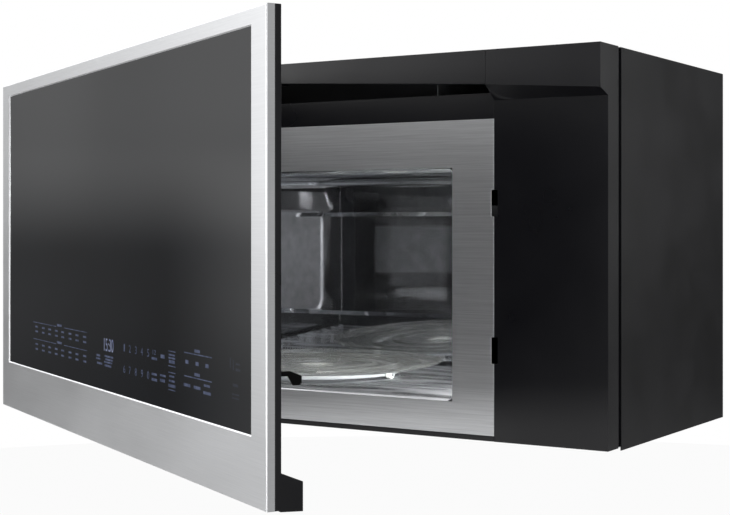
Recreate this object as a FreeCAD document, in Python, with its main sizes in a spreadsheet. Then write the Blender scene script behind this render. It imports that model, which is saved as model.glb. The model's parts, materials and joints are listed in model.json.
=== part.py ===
import FreeCAD, Part
import math
import os
import types

import Sketcher

Vector = FreeCAD.Vector
Rotation = FreeCAD.Rotation

# Driving dimensions, millimetres and degrees. X runs along the wall from the middle of the
# body, Y runs into the wall from the front (the wall is Y = 0), Z runs up from the body's base.
SIZES = (
    # body
    ("width", 758.0),
    ("body_height", 381.0),
    ("body_depth", 325.0),
    ("gauge", 1.0),
    ("skin", 2.5),
    ("fit", 0.3),
    ("case_drop", 3.0),
    ("case_setback", 31.6),
    ("bezel_return", 24.6),
    ("tongue_reach", 33.6),
    ("rear_recess", 2.5),
    # front: right panel, left trim, grille band and sill
    ("panel_width", 119.3),
    ("trim_width", 29.0),
    ("panel_drop", 48.0),
    ("band_proud", 18.3),
    ("band_height_right", 41.7),
    ("band_height_seam", 33.7),
    ("band_height_middle", 20.1),
    ("band_height_left", 39.0),
    ("band_left_gap", 17.0),
    ("sill_drop", 40.0),
    ("strip_height", 5.0),
    ("strip_depth", 3.0),
    ("frame_bottom", 5.2),
    ("frame_drop", 65.5),
    ("louvre_count", 13.0),
    ("louvre_margin", 30.0),
    ("louvre_wall", 1.6),
    # oven cavity
    ("cavity_margin_left", 32.7),
    ("cavity_margin_right", 46.4),
    ("cavity_floor", 36.5),
    ("roof_drop", 112.5),
    ("cavity_depth", 303.0),
    ("emboss", 2.4),
    ("field_rise", 60.5),
    ("field_drop", 40.5),
    ("field_margin", 26.0),
    # turntable
    ("tray_radius", 146.0),
    ("tray_rise", 7.4),
    ("tray_wall", 3.2),
    ("table_setback", 153.0),
    ("roller_radius", 5.0),
    ("roller_track", 99.8),
    ("roller_width", 6.0),
    ("axle_radius", 1.2),
    ("spindle_radius", 3.5),
    ("hub_radius", 11.0),
    ("table_motor_radius", 24.0),
    ("table_motor_height", 19.5),
    # door
    ("door_top_gap", 4.1),
    ("door_drop", 2.6),
    ("door_stand", 33.9),
    ("door_edge", 12.6),
    ("door_return", 7.1),
    ("stile", 28.5),
    ("top_rail", 14.0),
    ("bottom_rail", 54.0),
    ("glass_wall", 3.2),
    ("back_wall", 1.5),
    ("lip_reach", 30.7),
    ("lip_high", 25.5),
    ("lip_back_high", 18.1),
    ("lip_low", 4.5),
    ("lip_length", 106.0),
    ("door_angle", 29.4),
    ("pivot_inset", 15.0),
    ("pivot_front", 15.0),
    ("choke_margin_left", 29.0),
    ("choke_margin_right", 133.0),
    ("choke_bottom", 11.0),
    ("choke_drop", 72.0),
    ("choke_reach", 30.9),
    ("choke_groove", 30.0),
    ("window_margin", 40.0),
    # hinges
    ("pin_radius", 3.0),
    ("pin_clearance", 0.05),
    ("arm_radius", 5.5),
    ("arm_wall", 2.5),
    ("arm_low", 8.0),
    ("arm_drop", 81.0),
    # latch
    ("hook_gap", 10.9),
    ("hook_wall", 2.4),
    ("hook_reach", 87.6),
    ("hook_low", 76.4),
    ("hook_drop", 48.1),
    ("feeler_reach", 66.0),
    ("slot_height", 26.0),
    ("latch_travel", 4.0),
    # air path and underside
    ("filter_near", 45.0),
    ("filter_far", 205.0),
    ("filter_front", 73.0),
    ("filter_length", 146.0),
    ("filter_travel", 5.0),
    ("lens_near", 110.0),
    ("lens_length", 70.0),
    ("lens_width", 27.4),
    ("lens_front", 34.3),
    ("duct_width", 360.0),
    ("blower_radius", 50.0),
    ("wheel_radius", 42.0),
    ("wheel_width", 60.0),
    ("blade_count", 24.0),
    # electrical bay
    ("bay_floor", 38.0),
    ("bay_setback", 35.0),
    ("bay_depth", 230.0),
    ("core_length", 90.0),
    ("core_depth", 60.0),
    ("core_height", 66.0),
    ("core_setback", 63.0),
    ("shroud_height", 148.0),
    ("guide_width", 30.0),
    ("yoke_width", 90.0),
    ("fan_radius", 60.0),
    # fixing to the wall and to the cabinet above
    ("stud_spacing", 406.4),
    ("lag_radius", 3.5),
    ("cabinet_spacing", 540.0),
    ("cabinet_setback", 160.0),
    ("cord_radius", 14.0),
)

doc = FreeCAD.newDocument("over_the_range_microwave")
sheet = doc.addObject("Spreadsheet::Sheet", "dims")


class Size:
    """A size that carries its number and the sheet expression that gives it."""

    def __init__(self, number, text=None):
        self.number = float(number)
        self.text = text or f"({self.number!r})"

    def __float__(self):
        return self.number

    def __add__(self, other):
        return Size(self.number + float(other), f"({self.text} + {size(other).text})")

    def __sub__(self, other):
        return Size(self.number - float(other), f"({self.text} - {size(other).text})")

    def __mul__(self, other):
        return Size(self.number * float(other), f"({self.text} * {size(other).text})")

    def __truediv__(self, other):
        return Size(self.number / float(other), f"({self.text} / {size(other).text})")

    def __radd__(self, other):
        return size(other) + self

    def __rsub__(self, other):
        return size(other) - self

    def __rmul__(self, other):
        return size(other) * self

    def __neg__(self):
        return 0 - self


def size(value):
    return value if isinstance(value, Size) else Size(value)


dims = types.SimpleNamespace()
for row, (alias, number) in enumerate(SIZES, start=1):
    sheet.set(f"A{row}", alias)
    sheet.set(f"B{row}", str(number))
    sheet.setAlias(f"B{row}", alias)
    setattr(dims, alias, Size(number, f"dims.{alias}"))
doc.recompute()

NODES = []


def bind(item, prop, value):
    """Ties a property to the sheet, or sets it where the value is a plain number."""
    item.setExpression(prop, size(value).text)


def move(item, x=0, y=0, z=0):
    for letter, value in zip("xyz", (x, y, z)):
        bind(item, f"Placement.Base.{letter}", value)
    return item


def block(x0, x1, y0, y1, z0, z1):
    """A box between six planes."""
    box = doc.addObject("Part::Box", "block")
    for prop, low, high in (("Length", x0, x1), ("Width", y0, y1), ("Height", z0, z1)):
        bind(box, prop, size(high) - low)
    return move(box, x0, y0, z0)


TURNS = {
    "X": Rotation(Vector(0, 1, 0), 90),
    "Y": Rotation(Vector(1, 0, 0), -90),
    "Z": Rotation(),
}


def rod(axis, start, end, a, b, radius):
    """A cylinder along an axis; a and b are its centre on the other two axes, in X, Y, Z order."""
    cylinder = doc.addObject("Part::Cylinder", "rod")
    bind(cylinder, "Radius", radius)
    bind(cylinder, "Height", size(end) - start)
    cylinder.Placement = FreeCAD.Placement(Vector(), TURNS[axis])
    centre = {"X": (start, a, b), "Y": (a, start, b), "Z": (a, b, start)}[axis]
    return move(cylinder, *centre)


def fuse(*shapes):
    joined = doc.addObject("Part::MultiFuse", "fuse")
    joined.Shapes = list(shapes)
    return joined


def cut(base, *tools):
    taken = doc.addObject("Part::Cut", "cut")
    taken.Base = base
    taken.Tool = tools[0] if len(tools) == 1 else fuse(*tools)
    return taken


def group(*shapes):
    """Separate solids in one sub-part."""
    together = doc.addObject("Part::Compound", "group")
    together.Links = list(shapes)
    return together


def shell(x, y, z, wall, open_sides=""):
    """A hollow box; each open side, such as -y, is left without its wall."""
    inner = []
    for letter, (low, high) in zip("xyz", (x, y, z)):
        inner.append(size(low) + (0 if f"-{letter}" in open_sides else wall))
        inner.append(size(high) - (0 if f"+{letter}" in open_sides else wall))
    return cut(block(*x, *y, *z), block(*inner))


def outline(body, role, loops, offset=0, circles=()):
    """A sketch of closed straight-edged loops and circles, every point held by its dimensions."""
    sketch = body.newObject("Sketcher::SketchObject", "outline")
    plane = next(item for item in body.Origin.OriginFeatures if item.Role == role)
    sketch.AttachmentSupport = [(plane, "")]
    sketch.MapMode = "FlatFace"
    bind(sketch, "AttachmentOffset.Base.z", offset)

    def held(kind, index, point, value):
        where = (-1, 1, index, point) if kind != "Radius" else (index,)
        number = sketch.addConstraint(Sketcher.Constraint(kind, *where, float(value)))
        if isinstance(value, Size):
            sketch.setExpression(f"Constraints[{number}]", value.text)

    for loop in loops:
        corners = [Vector(float(x), float(y), 0) for x, y in loop]
        first = sketch.GeometryCount
        for start, end in zip(corners, corners[1:] + corners[:1]):
            sketch.addGeometry(Part.LineSegment(start, end), False)
        for i, (x, y) in enumerate(loop):
            following = first + (i + 1) % len(loop)
            sketch.addConstraint(Sketcher.Constraint("Coincident", first + i, 2, following, 1))
            held("DistanceX", first + i, 1, x)
            held("DistanceY", first + i, 1, y)
    for x, y, radius in circles:
        ring = Part.Circle(Vector(float(x), float(y), 0), Vector(0, 0, 1), float(radius))
        index = sketch.addGeometry(ring, False)
        held("DistanceX", index, 3, x)
        held("DistanceY", index, 3, y)
        held("Radius", index, 0, radius)
    return sketch


def pad(body, sketch, length):
    feature = body.newObject("PartDesign::Pad", "pad")
    feature.Profile = sketch
    bind(feature, "Length", length)
    return feature


def plate(role, loops, offset, length, circles=()):
    """A body padded from one outline. XZ outlines grow to the front, the others up or right."""
    body = doc.addObject("PartDesign::Body", "plate")
    pad(body, outline(body, role, loops, offset, circles), length)
    return body


def turned(points):
    """A body turned about Z from its half section, given as radius and height."""
    body = doc.addObject("PartDesign::Body", "turned")
    sketch = outline(body, "XZ_Plane", [points])
    feature = body.newObject("PartDesign::Revolution", "revolution")
    feature.Profile = sketch
    feature.ReferenceAxis = (sketch, ["V_Axis"])
    return body


def rectangle(x0, x1, z0, z1):
    return [(x0, z0), (x1, z0), (x1, z1), (x0, z1)]


def node(name, item):
    """Names a finished sub-part; the name is its file's name too."""
    item.Label = name
    NODES.append(item)
    return item


# Reference planes of the body
half = dims.width / 2
top = dims.body_height
front = -dims.body_depth
panel_back = front + dims.skin
case_front = front + dims.case_setback
bezel_back = front + dims.bezel_return
rear_face = -dims.rear_recess - dims.gauge
panel_left = half - dims.panel_width
trim_right = -half + dims.trim_width
frame_left = trim_right + dims.fit
frame_right = panel_left - dims.fit
frame_back = front + dims.gauge
panel_top = top - dims.panel_drop
band_low_right = top - dims.band_height_right
band_low_seam = top - dims.band_height_seam
band_low_middle = top - dims.band_height_middle
band_low_left = top - dims.band_height_left
band_front = front - dims.band_proud
band_left = -half + dims.band_left_gap
sill_top = top - dims.sill_drop
frame_top = top - dims.frame_drop
cavity_left = frame_left + dims.cavity_margin_left
cavity_right = frame_right - dims.cavity_margin_right
cavity_roof = top - dims.roof_drop
cavity_back = front + dims.cavity_depth
wall_right = cavity_right + dims.gauge
roof_top = cavity_roof + dims.gauge

# Reference planes of the door, from its pivot axis and as if it were closed
pivot_x = -half + dims.pivot_inset
pivot_y = front - dims.pivot_front
door_face = dims.pivot_front - dims.door_stand
door_left = -dims.pivot_inset
door_right = door_left + dims.width
door_low = -dims.door_drop
door_high = top - dims.door_top_gap
door_rear = door_face + dims.door_edge
arm_high = top - dims.arm_drop
choke_x0 = door_left + dims.choke_margin_left
choke_x1 = door_right - dims.choke_margin_right
choke_high = top - dims.choke_drop
choke_back = door_face + dims.choke_reach
hook_x0 = choke_x1 + dims.hook_gap
hook_x1 = hook_x0 + dims.hook_wall
hook_tip = door_face + dims.hook_reach
feeler_tip = door_face + dims.feeler_reach
HOOK_LOWS = (dims.hook_low, cavity_roof - dims.hook_drop)

# Turntable
table_x = (cavity_left + cavity_right) / 2
table_y = front + dims.table_setback
roller_height = dims.cavity_floor + 0.2 + dims.roller_radius
tray_under = roller_height + dims.roller_radius + 0.2


def door_node(name, item):
    """A sub-part drawn from the pivot axis, swung open to the door's resting angle."""
    if item.TypeId == "Part::Box":
        item = group(item)
    item.Placement = FreeCAD.Placement(Vector(), Rotation(Vector(0, 0, -1), float(dims.door_angle)))
    bind(item, "Placement.Rotation.Angle", dims.door_angle)
    return node(name, move(item, pivot_x, pivot_y, 0))


# ---------------------------------------------------------------- body shell

def mirrored(near, far, side):
    """The X range between two distances from the middle, on the left (-1) or right (1)."""
    return (near, far) if side > 0 else (-far, -near)


cord_x = half - 49
cord_y = size(-45)
tab_half = 15
tab_middle = 200


def outer_case():
    """The wrap: a top sheet between two side sheets."""
    under_top = top - dims.gauge
    roof = block(-half + dims.gauge, half - dims.gauge, case_front, 0, under_top, top)
    bolts = [
        rod("Z", under_top - 1, top + 1, side * dims.cabinet_spacing / 2, -dims.cabinet_setback,
            dims.lag_radius)
        for side in (-1, 1)
    ]
    cord_hole = rod("Z", under_top - 1, top + 1, cord_x, cord_y, dims.cord_radius)
    sides = [
        block(*mirrored(half - dims.gauge, half, side), case_front, 0, -dims.case_drop, top)
        for side in (-1, 1)
    ]
    node("outer_case", group(cut(roof, *bolts, cord_hole), *sides))


def rear_plate():
    sheet_metal = block(
        -half + dims.gauge, half - dims.gauge, rear_face, -dims.rear_recess,
        -dims.case_drop, top - dims.gauge,
    )
    slots = [
        block(side * tab_middle - tab_half - 2, side * tab_middle + tab_half + 2,
              rear_face - 1, 0, 19, 24)
        for side in (-1, 1)
    ]
    node("rear_plate", cut(sheet_metal, *slots))


def wall_bracket():
    strip = block(-half + 29, half - 29, -dims.rear_recess, 0, -dims.case_drop, 128)
    holes = [
        rod("Y", -dims.rear_recess - 1, 1, side * dims.stud_spacing / 2, 80, dims.lag_radius)
        for side in (-1, 1)
    ]
    tabs = [
        block(side * tab_middle - tab_half, side * tab_middle + tab_half,
              -dims.rear_recess - 5, -dims.rear_recess, 20, 22)
        for side in (-1, 1)
    ]
    node("wall_bracket", cut(fuse(strip, *tabs), *holes))


filter_y0 = front + dims.filter_front
filter_y1 = filter_y0 + dims.filter_length
lens_y0 = front + dims.lens_front
lens_y1 = lens_y0 + dims.lens_width
lens_far = dims.lens_near + dims.lens_length
SCREW_SPOTS = [(side * x, y) for side in (-1, 1) for x in (half - 79, 25) for y in (front + 45, -30)]
screw_radius = 2.0


def base_plate():
    loop = [
        (-half + dims.gauge, rear_face),
        (half - dims.gauge, rear_face),
        (half - dims.gauge, case_front),
        (frame_right, case_front),
        (frame_right, front + dims.strip_depth),
        (frame_left, front + dims.strip_depth),
        (frame_left, case_front),
        (-half + dims.gauge, case_front),
    ]
    pan = plate("XY_Plane", [loop], 0, dims.gauge)
    holes = [rod("Z", -1, 3, x, y, screw_radius + 0.1) for x, y in SCREW_SPOTS]
    for side in (-1, 1):
        holes.append(block(*mirrored(dims.filter_near, dims.filter_far, side), filter_y0, filter_y1, -1, 3))
        holes.append(block(*mirrored(dims.lens_near, lens_far, side), lens_y0, lens_y1, -1, 3))
    node("base_plate", cut(pan, *holes))


def base_screws():
    screws = [
        fuse(rod("Z", -1.8, 0, x, y, 4), rod("Z", -0.5, dims.gauge, x, y, screw_radius))
        for x, y in SCREW_SPOTS
    ]
    node("base_screws", group(*screws))


def cord_bushing():
    hole = dims.cord_radius - 4
    ring = turned([
        (hole, top - 5), (dims.cord_radius + 4, top - 5), (dims.cord_radius + 4, top - dims.gauge),
        (dims.cord_radius - 0.02, top - dims.gauge), (dims.cord_radius - 0.02, top), (hole, top),
    ])
    node("cord_bushing", move(ring, cord_x, cord_y, 0))


# ---------------------------------------------------------------- front of the body

slot_left = pivot_x + hook_x0 - 0.4
slot_right = pivot_x + hook_x1 + 4.2
slot_spans = [(low - 0.4, low - 0.4 + dims.slot_height) for low in HOOK_LOWS]


def front_frame():
    edge = []
    for low, high in slot_spans:
        edge += [(frame_right, low), (slot_left, low), (slot_left, high), (frame_right, high)]
    loop = [(frame_left, dims.frame_bottom), (frame_right, dims.frame_bottom)]
    loop += edge + [(frame_right, frame_top), (frame_left, frame_top)]
    opening = rectangle(cavity_left, cavity_right, dims.cavity_floor, cavity_roof)
    node("front_frame", plate("XZ_Plane", [loop, opening], -frame_back, dims.gauge))


def panel_section(band_low):
    """The right panel's wall, seen from its end: proud band above, flat panel below."""
    wall = dims.skin
    return [
        (band_front, top), (band_front, band_low), (front, panel_top), (front, 0),
        (panel_back, 0), (panel_back, panel_top + wall * 0.7),
        (band_front + wall, band_low + wall * 0.7), (band_front + wall, top - wall),
        (bezel_back, top - wall), (bezel_back, top),
    ]


BOARD_BOSSES = [(x, z) for x in (panel_left + 25.3, half - 19) for z in (75, top - 91)]
boss_length = 8


def right_panel():
    body = doc.addObject("PartDesign::Body", "panel")
    loft = body.newObject("PartDesign::AdditiveLoft", "loft")
    ends = [(half, band_low_right), (panel_left, band_low_seam)]
    sections = [outline(body, "YZ_Plane", [panel_section(low)], x) for x, low in ends]
    loft.Profile = sections[0]
    loft.Sections = sections[1:]
    loft.Ruled = True
    end_loop = [
        (band_front, top), (band_front, band_low_right), (front, panel_top),
        (front, 0), (bezel_back, 0), (bezel_back, top),
    ]
    end_wall = plate("YZ_Plane", [end_loop], half - dims.skin, dims.skin)
    floor = block(panel_left, half - dims.skin, front, case_front, 0, dims.skin)
    tongue_y = front + dims.tongue_reach
    tongue = block(half - dims.skin - 1.8, half - dims.skin + 0.7, bezel_back - 2, tongue_y, 3, top - 5)
    bosses = [rod("Y", panel_back, panel_back + boss_length, x, z, 3.5) for x, z in BOARD_BOSSES]
    whole = fuse(body, end_wall, floor, tongue, *bosses)
    notches = [
        block(panel_left - 1, slot_right, front - 1, panel_back + 1, low, high)
        for low, high in slot_spans
    ]
    node("right_panel", cut(whole, *notches))


arm_gap = 1


def left_trim():
    wall = dims.skin
    lower = [
        (-half, bezel_back), (-half, front), (trim_right, front), (trim_right, front + wall),
        (-half + wall, front + wall), (-half + wall, bezel_back),
    ]
    upper = [(band_left - dims.fit, y) if 1 < i < 4 else (x, y) for i, (x, y) in enumerate(lower)]
    tall = plate("XY_Plane", [lower], 0, sill_top)
    head = plate("XY_Plane", [upper], sill_top, top - sill_top)
    cap = block(-half, band_left - dims.fit, front, bezel_back, top - wall, top)
    floor = block(-half, trim_right, front, case_front, 0, wall)
    tongue = block(-half + wall - 0.7, -half + wall + 1.8, bezel_back - 2,
                   front + dims.tongue_reach, 3, top - 5)
    arms = [
        block(pivot_x - dims.arm_radius - arm_gap, pivot_x + dims.arm_radius + arm_gap,
              front - 1, front + wall + 1, low - arm_gap, low + dims.arm_wall + arm_gap)
        for low in (dims.arm_low, arm_high)
    ]
    node("left_trim", cut(fuse(tall, head, cap, floor, tongue), *arms))


def vent_grille():
    """The band: two halves of the face, each with a slanted lower edge, a roof and a left end."""
    inner = band_front + dims.skin
    seam = panel_left - dims.fit
    halves = [
        plate("XZ_Plane", [[(x, low), (size(0), band_low_middle), (size(0), top), (x, top)]],
              -inner, dims.skin)
        for x, low in ((seam, band_low_seam), (band_left, band_low_left))
    ]
    roof = block(band_left, seam, inner, bezel_back, top - dims.skin, top)
    end = block(band_left, band_left + dims.skin, inner, bezel_back, band_low_left, top - dims.skin)
    node("vent_grille", group(*halves, roof, end))


def vent_louvres():
    count = int(dims.louvre_count.number)
    span = panel_left - band_left - 2 * dims.louvre_margin
    louvres = []
    for i in range(count):
        x = band_left + dims.louvre_margin + span * i / (count - 1)
        louvres.append(block(x, x + dims.louvre_wall, band_front + dims.skin, bezel_back,
                             band_low_middle + 1, top - dims.skin))
    node("vent_louvres", group(*louvres))


def vent_sill():
    wall = dims.skin
    face = block(frame_left, frame_right, front, front + wall, frame_top + 0.2, sill_top)
    shelf = block(frame_left, frame_right, front, case_front - 3, sill_top - wall, sill_top)
    node("vent_sill", fuse(face, shelf))


def lower_trim():
    node("lower_trim", block(frame_left, frame_right, front, front + dims.strip_depth, 0, dims.strip_height))


# ---------------------------------------------------------------- hinges

bracket_back = front + dims.skin + 2.5


def hinge_brackets():
    """Steel arms that reach through the left trim to the pivot axis, each with its foot."""
    brackets = []
    for low, foot_low in ((dims.arm_low, 6), (arm_high, arm_high - 24)):
        high = low + dims.arm_wall
        arm = block(pivot_x - dims.arm_radius, pivot_x + dims.arm_radius, pivot_y, bracket_back, low, high)
        nose = rod("Z", low, high, pivot_x, pivot_y, dims.arm_radius)
        foot = block(pivot_x - 10, trim_right, panel_back, bracket_back, foot_low, size(foot_low) + 28)
        ear = block(frame_left, cavity_left - 12, frame_back, bracket_back, foot_low, size(foot_low) + 28)
        tie = block(trim_right - 1, frame_left + 1, panel_back, bracket_back, foot_low, size(foot_low) + 28)
        brackets.append(fuse(arm, nose, foot, tie, ear))
    node("hinge_brackets", group(*brackets))


pin_length = 7.5


def hinge_pins():
    low = dims.arm_low + dims.arm_wall
    pins = [rod("Z", low, low + pin_length, pivot_x, pivot_y, dims.pin_radius),
            rod("Z", arm_high - pin_length, arm_high, pivot_x, pivot_y, dims.pin_radius)]
    node("hinge_pins", group(*pins))


def door_hinge_plates():
    """Steel plates on the choke's left wall that turn on the pins."""
    low = dims.arm_low + dims.arm_wall + 0.7
    high = arm_high - 0.7 - 2
    plates = []
    for flat, web in ((low, low), (high, high - 28)):
        ear = block(-6, choke_x0, door_rear + 0.4, 6, flat, flat + 2)
        flange = block(choke_x0 - 2, choke_x0, door_rear + 0.4, 6, web, web + 30)
        bore = rod("Z", flat - 1, flat + 3, 0, 0, dims.pin_radius + dims.pin_clearance)
        plates.append(cut(fuse(ear, flange), bore))
    door_node("door_hinge_plates", group(*plates))


# ---------------------------------------------------------------- door

def door_frame():
    outer = rectangle(door_left, door_right, door_low, door_high)
    opening = rectangle(door_left + dims.stile, door_right - dims.stile,
                        door_low + dims.bottom_rail, door_high - dims.top_rail)
    g = dims.gauge
    inner = rectangle(door_left + g, door_right - g, door_low + g, door_high - g)
    body = doc.addObject("PartDesign::Body", "frame")
    pad(body, outline(body, "XZ_Plane", [outer, opening], -door_face - g), g)
    pad(body, outline(body, "XZ_Plane", [outer, inner], -door_face - dims.door_return),
        dims.door_return - g / 2)
    door_node("door_frame", body)


glass_back = door_face + dims.gauge + dims.glass_wall
inset = dims.gauge + 0.2


def door_glass():
    door_node("door_glass", block(door_left + inset, door_right - inset, door_face + dims.gauge,
                                  glass_back, door_low + inset, door_high - inset))


def door_rim():
    """Black moulding behind the glass: edge, back wall, window opening and the bottom lip."""
    edge_front = door_face + dims.door_return
    rim_wall = 3
    tray = cut(
        block(door_left, door_right, edge_front, door_rear, door_low, door_high),
        block(door_left + rim_wall, door_right - rim_wall, edge_front, door_rear - dims.back_wall,
              door_low + rim_wall, door_high - rim_wall),
    )
    seat = cut(
        block(door_left + inset, door_right - inset, glass_back, edge_front + 0.5,
              door_low + inset, door_high - inset),
        block(door_left + 9, door_right - 9, glass_back, edge_front + 0.5, door_low + 9, door_high - 9),
    )
    groove = dims.choke_groove + 1
    window = block(choke_x0 + groove, choke_x1 - groove, door_rear - 3, door_rear + 1,
                   dims.choke_bottom + groove, choke_high - groove)
    lip_back = door_face + dims.lip_reach
    grip = [(door_rear - 1, -dims.lip_low + 0.9), (lip_back, -dims.lip_low),
            (lip_back, dims.lip_back_high), (door_rear, dims.lip_high), (door_rear - 1, dims.lip_high)]
    grip_end = plate("YZ_Plane", [grip], door_right - dims.lip_length, dims.lip_length)
    ledge = [(door_rear - 1, -dims.lip_low + 0.9), (lip_back, -dims.lip_low),
             (lip_back, dims.choke_bottom - dims.fit), (door_rear - 1, dims.choke_bottom - dims.fit)]
    lip = plate("YZ_Plane", [ledge], choke_x0, door_right - dims.lip_length - choke_x0 + 1)
    door_node("door_rim", cut(fuse(tray, seat, grip_end, lip), window))


KEY_COLUMNS = [door_left + along for along in (135, 205, 275, 415, 465, 515, 575)]
key_width = 30
board_left = KEY_COLUMNS[0] - 25
board_right = KEY_COLUMNS[-1] + key_width / 2


def touch_board():
    board_y = door_rear - dims.back_wall - 2.6
    board = block(board_left, board_right, board_y, board_y + 1.6, 62, 112)
    posts = [
        rod("Y", board_y + 1, door_rear - dims.back_wall, x, z, 3)
        for x in (board_left + 10, (board_left + board_right) / 2, board_right - 10) for z in (68, 106)
    ]
    display = block(KEY_COLUMNS[3] - 50, KEY_COLUMNS[3] + 10, glass_back + 0.8, board_y + 0.5, 74, 102)
    keys = [block(x, x + key_width, glass_back + 0.8, board_y + 0.5, 72, 96) for x in KEY_COLUMNS]
    door_node("touch_board", fuse(board, display, *posts, *keys))


def choke_frame():
    """Folded steel pan: choke groove round the edge and a raised field before the cavity."""
    g = dims.gauge
    x0, x1, z0, z1 = choke_x0, choke_x1, dims.choke_bottom, choke_high
    w = dims.choke_groove
    pan = cut(block(x0, x1, door_rear, choke_back, z0, z1),
              block(x0 + g, x1 - g, door_rear + g, choke_back, z0 + g, z1 - g))
    raised = block(x0 + w, x1 - w, door_rear, choke_back - g, z0 + w, z1 - w)
    hollow = block(x0 + w + g, x1 - w - g, door_rear - 1, choke_back - 2 * g, z0 + w + g, z1 - w - g)
    m = w + dims.window_margin
    window = block(x0 + m, x1 - m, choke_back - 5, choke_back + 1, z0 + m, z1 - m)
    fold = cut(block(x0, x1, choke_back - g, choke_back, z0, z1),
               block(x0 + 7, x1 - 7, choke_back - 2, choke_back + 1, z0 + 7, z1 - 7))
    door_node("choke_frame", cut(fuse(pan, raised, fold), hollow, window))


screen_overlap = 6


def window_screen():
    m = dims.choke_groove + dims.window_margin - screen_overlap
    back = choke_back - 2 * dims.gauge
    door_node("window_screen", block(choke_x0 + m, choke_x1 - m, back - 0.8, back,
                                     dims.choke_bottom + m, choke_high - m))


cover_opening = dims.choke_groove + 8


def choke_cover():
    g = dims.gauge
    x0, x1, z0, z1 = choke_x0, choke_x1, dims.choke_bottom, choke_high
    step = dims.choke_groove + 2
    face = block(x0, x1, choke_back, choke_back + g, z0, z1)
    seat = block(x0 + step, x1 - step, choke_back - g, choke_back + 0.5, z0 + step, z1 - step)
    m = cover_opening
    window = block(x0 + m, x1 - m, choke_back - 3, choke_back + 3, z0 + m, z1 - m)
    door_node("choke_cover", cut(fuse(face, seat), window))


def inner_window():
    m = cover_opening + 0.3
    door_node("inner_window", block(choke_x0 + m, choke_x1 - m, choke_back - dims.gauge, choke_back,
                                    dims.choke_bottom + m, choke_high - m))


# ---------------------------------------------------------------- latch

housing_z0 = dims.hook_low - 28
housing_z1 = HOOK_LOWS[-1] + 50
housing_back = choke_back - 0.5
bar_low = housing_z0 + 10
bar_high = housing_z1 - 12


def latch_housing():
    x0, x1 = choke_x1 + 2, choke_x1 + 25
    box = shell((x0, x1), (door_rear, housing_back), (housing_z0, housing_z1), dims.back_wall, "-y")
    guides = []
    for z in (bar_low + 6, bar_high - 12):
        guides.append(block(x0 + 1, hook_x0 - dims.fit, door_rear + 0.5, housing_back - 0.5, z, z + 4))
        guides.append(block(hook_x1 + dims.fit, x1 - 1, door_rear + 0.5, housing_back - 0.5, z, z + 4))
    slots = [
        block(hook_x0 - 0.8, hook_x1 + 0.8, housing_back - 3, housing_back + 1,
              low - 2, low + 14 + dims.latch_travel + 2)
        for low in HOOK_LOWS
    ]
    door_node("latch_housing", cut(fuse(box, *guides), *slots))


def latch_bar():
    """Sliding bar with a hook that drops behind the front frame, and above it a short feeler."""
    y0, y1 = door_rear + 1, door_rear + 8
    low, high = HOOK_LOWS
    hook = [
        (y1, low + 6), (y1 + 12, low + 8), (hook_tip - 13, low + 8), (hook_tip - 9, low + 1),
        (hook_tip - 8, low), (hook_tip - 2, low), (hook_tip, low + 2), (hook_tip, low + 8),
        (hook_tip - 11, low + 12.5), (y1 + 12, low + 12.5), (y1, low + 14),
    ]
    feeler = [
        (y1, high + 1), (feeler_tip - 2, high + 1), (feeler_tip, high + 3), (feeler_tip, high + 8),
        (feeler_tip - 2, high + 10), (y1, high + 10),
    ]
    loop = [(y0, bar_low), (y1, bar_low), *hook, *feeler, (y1, bar_high), (y0, bar_high)]
    door_node("latch_bar", plate("YZ_Plane", [loop], hook_x0, dims.hook_wall))


def latch_spring():
    x, y = (hook_x0 + hook_x1) / 2, door_rear + 4.5
    z0, z1 = bar_high, housing_z1 - dims.back_wall
    door_node("latch_spring", cut(rod("Z", z0, z1, x, y, 2.6), rod("Z", z0 - 1, z1 + 1, x, y, 1.9)))


latch_wall_x = slot_right + 1
plunger_x0 = pivot_x + hook_x0
plunger_x1 = pivot_x + hook_x1
PLUNGER_FRONTS = [pivot_y + tip + dims.fit for tip in (hook_tip, feeler_tip)]
plunger_proud = 2.5
plunger_travel = 2
switch_depth = 20
board_back = PLUNGER_FRONTS[0] + plunger_proud + switch_depth + 2


def latch_board():
    low, high = dims.hook_low - 14.4, HOOK_LOWS[-1] + 41.6
    wall = block(latch_wall_x, latch_wall_x + 2.5, panel_back, board_back, low, high)
    flange = block(latch_wall_x, latch_wall_x + 16, panel_back, panel_back + 2, low, high)
    node("latch_board", fuse(wall, flange))


def interlock_switches():
    switches = []
    for low, plunger_front in zip(HOOK_LOWS, PLUNGER_FRONTS):
        y = plunger_front + plunger_proud
        case = block(plunger_x0 - 4.4, latch_wall_x, y, y + switch_depth, low - 2, low + 13)
        pocket = block(plunger_x0 - dims.fit, plunger_x1 + dims.fit, y - 1, y + 8,
                       low + 3 - dims.fit, low + 7 + dims.fit)
        switches.append(cut(case, pocket))
    node("interlock_switches", group(*switches))


def plungers():
    for name, low, y in zip(("plunger_lower", "plunger_upper"), HOOK_LOWS, PLUNGER_FRONTS):
        node(name, block(plunger_x0, plunger_x1, y, y + plunger_proud + 8 - plunger_travel - 0.5,
                         low + 3, low + 7))


# ---------------------------------------------------------------- cavity

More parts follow.
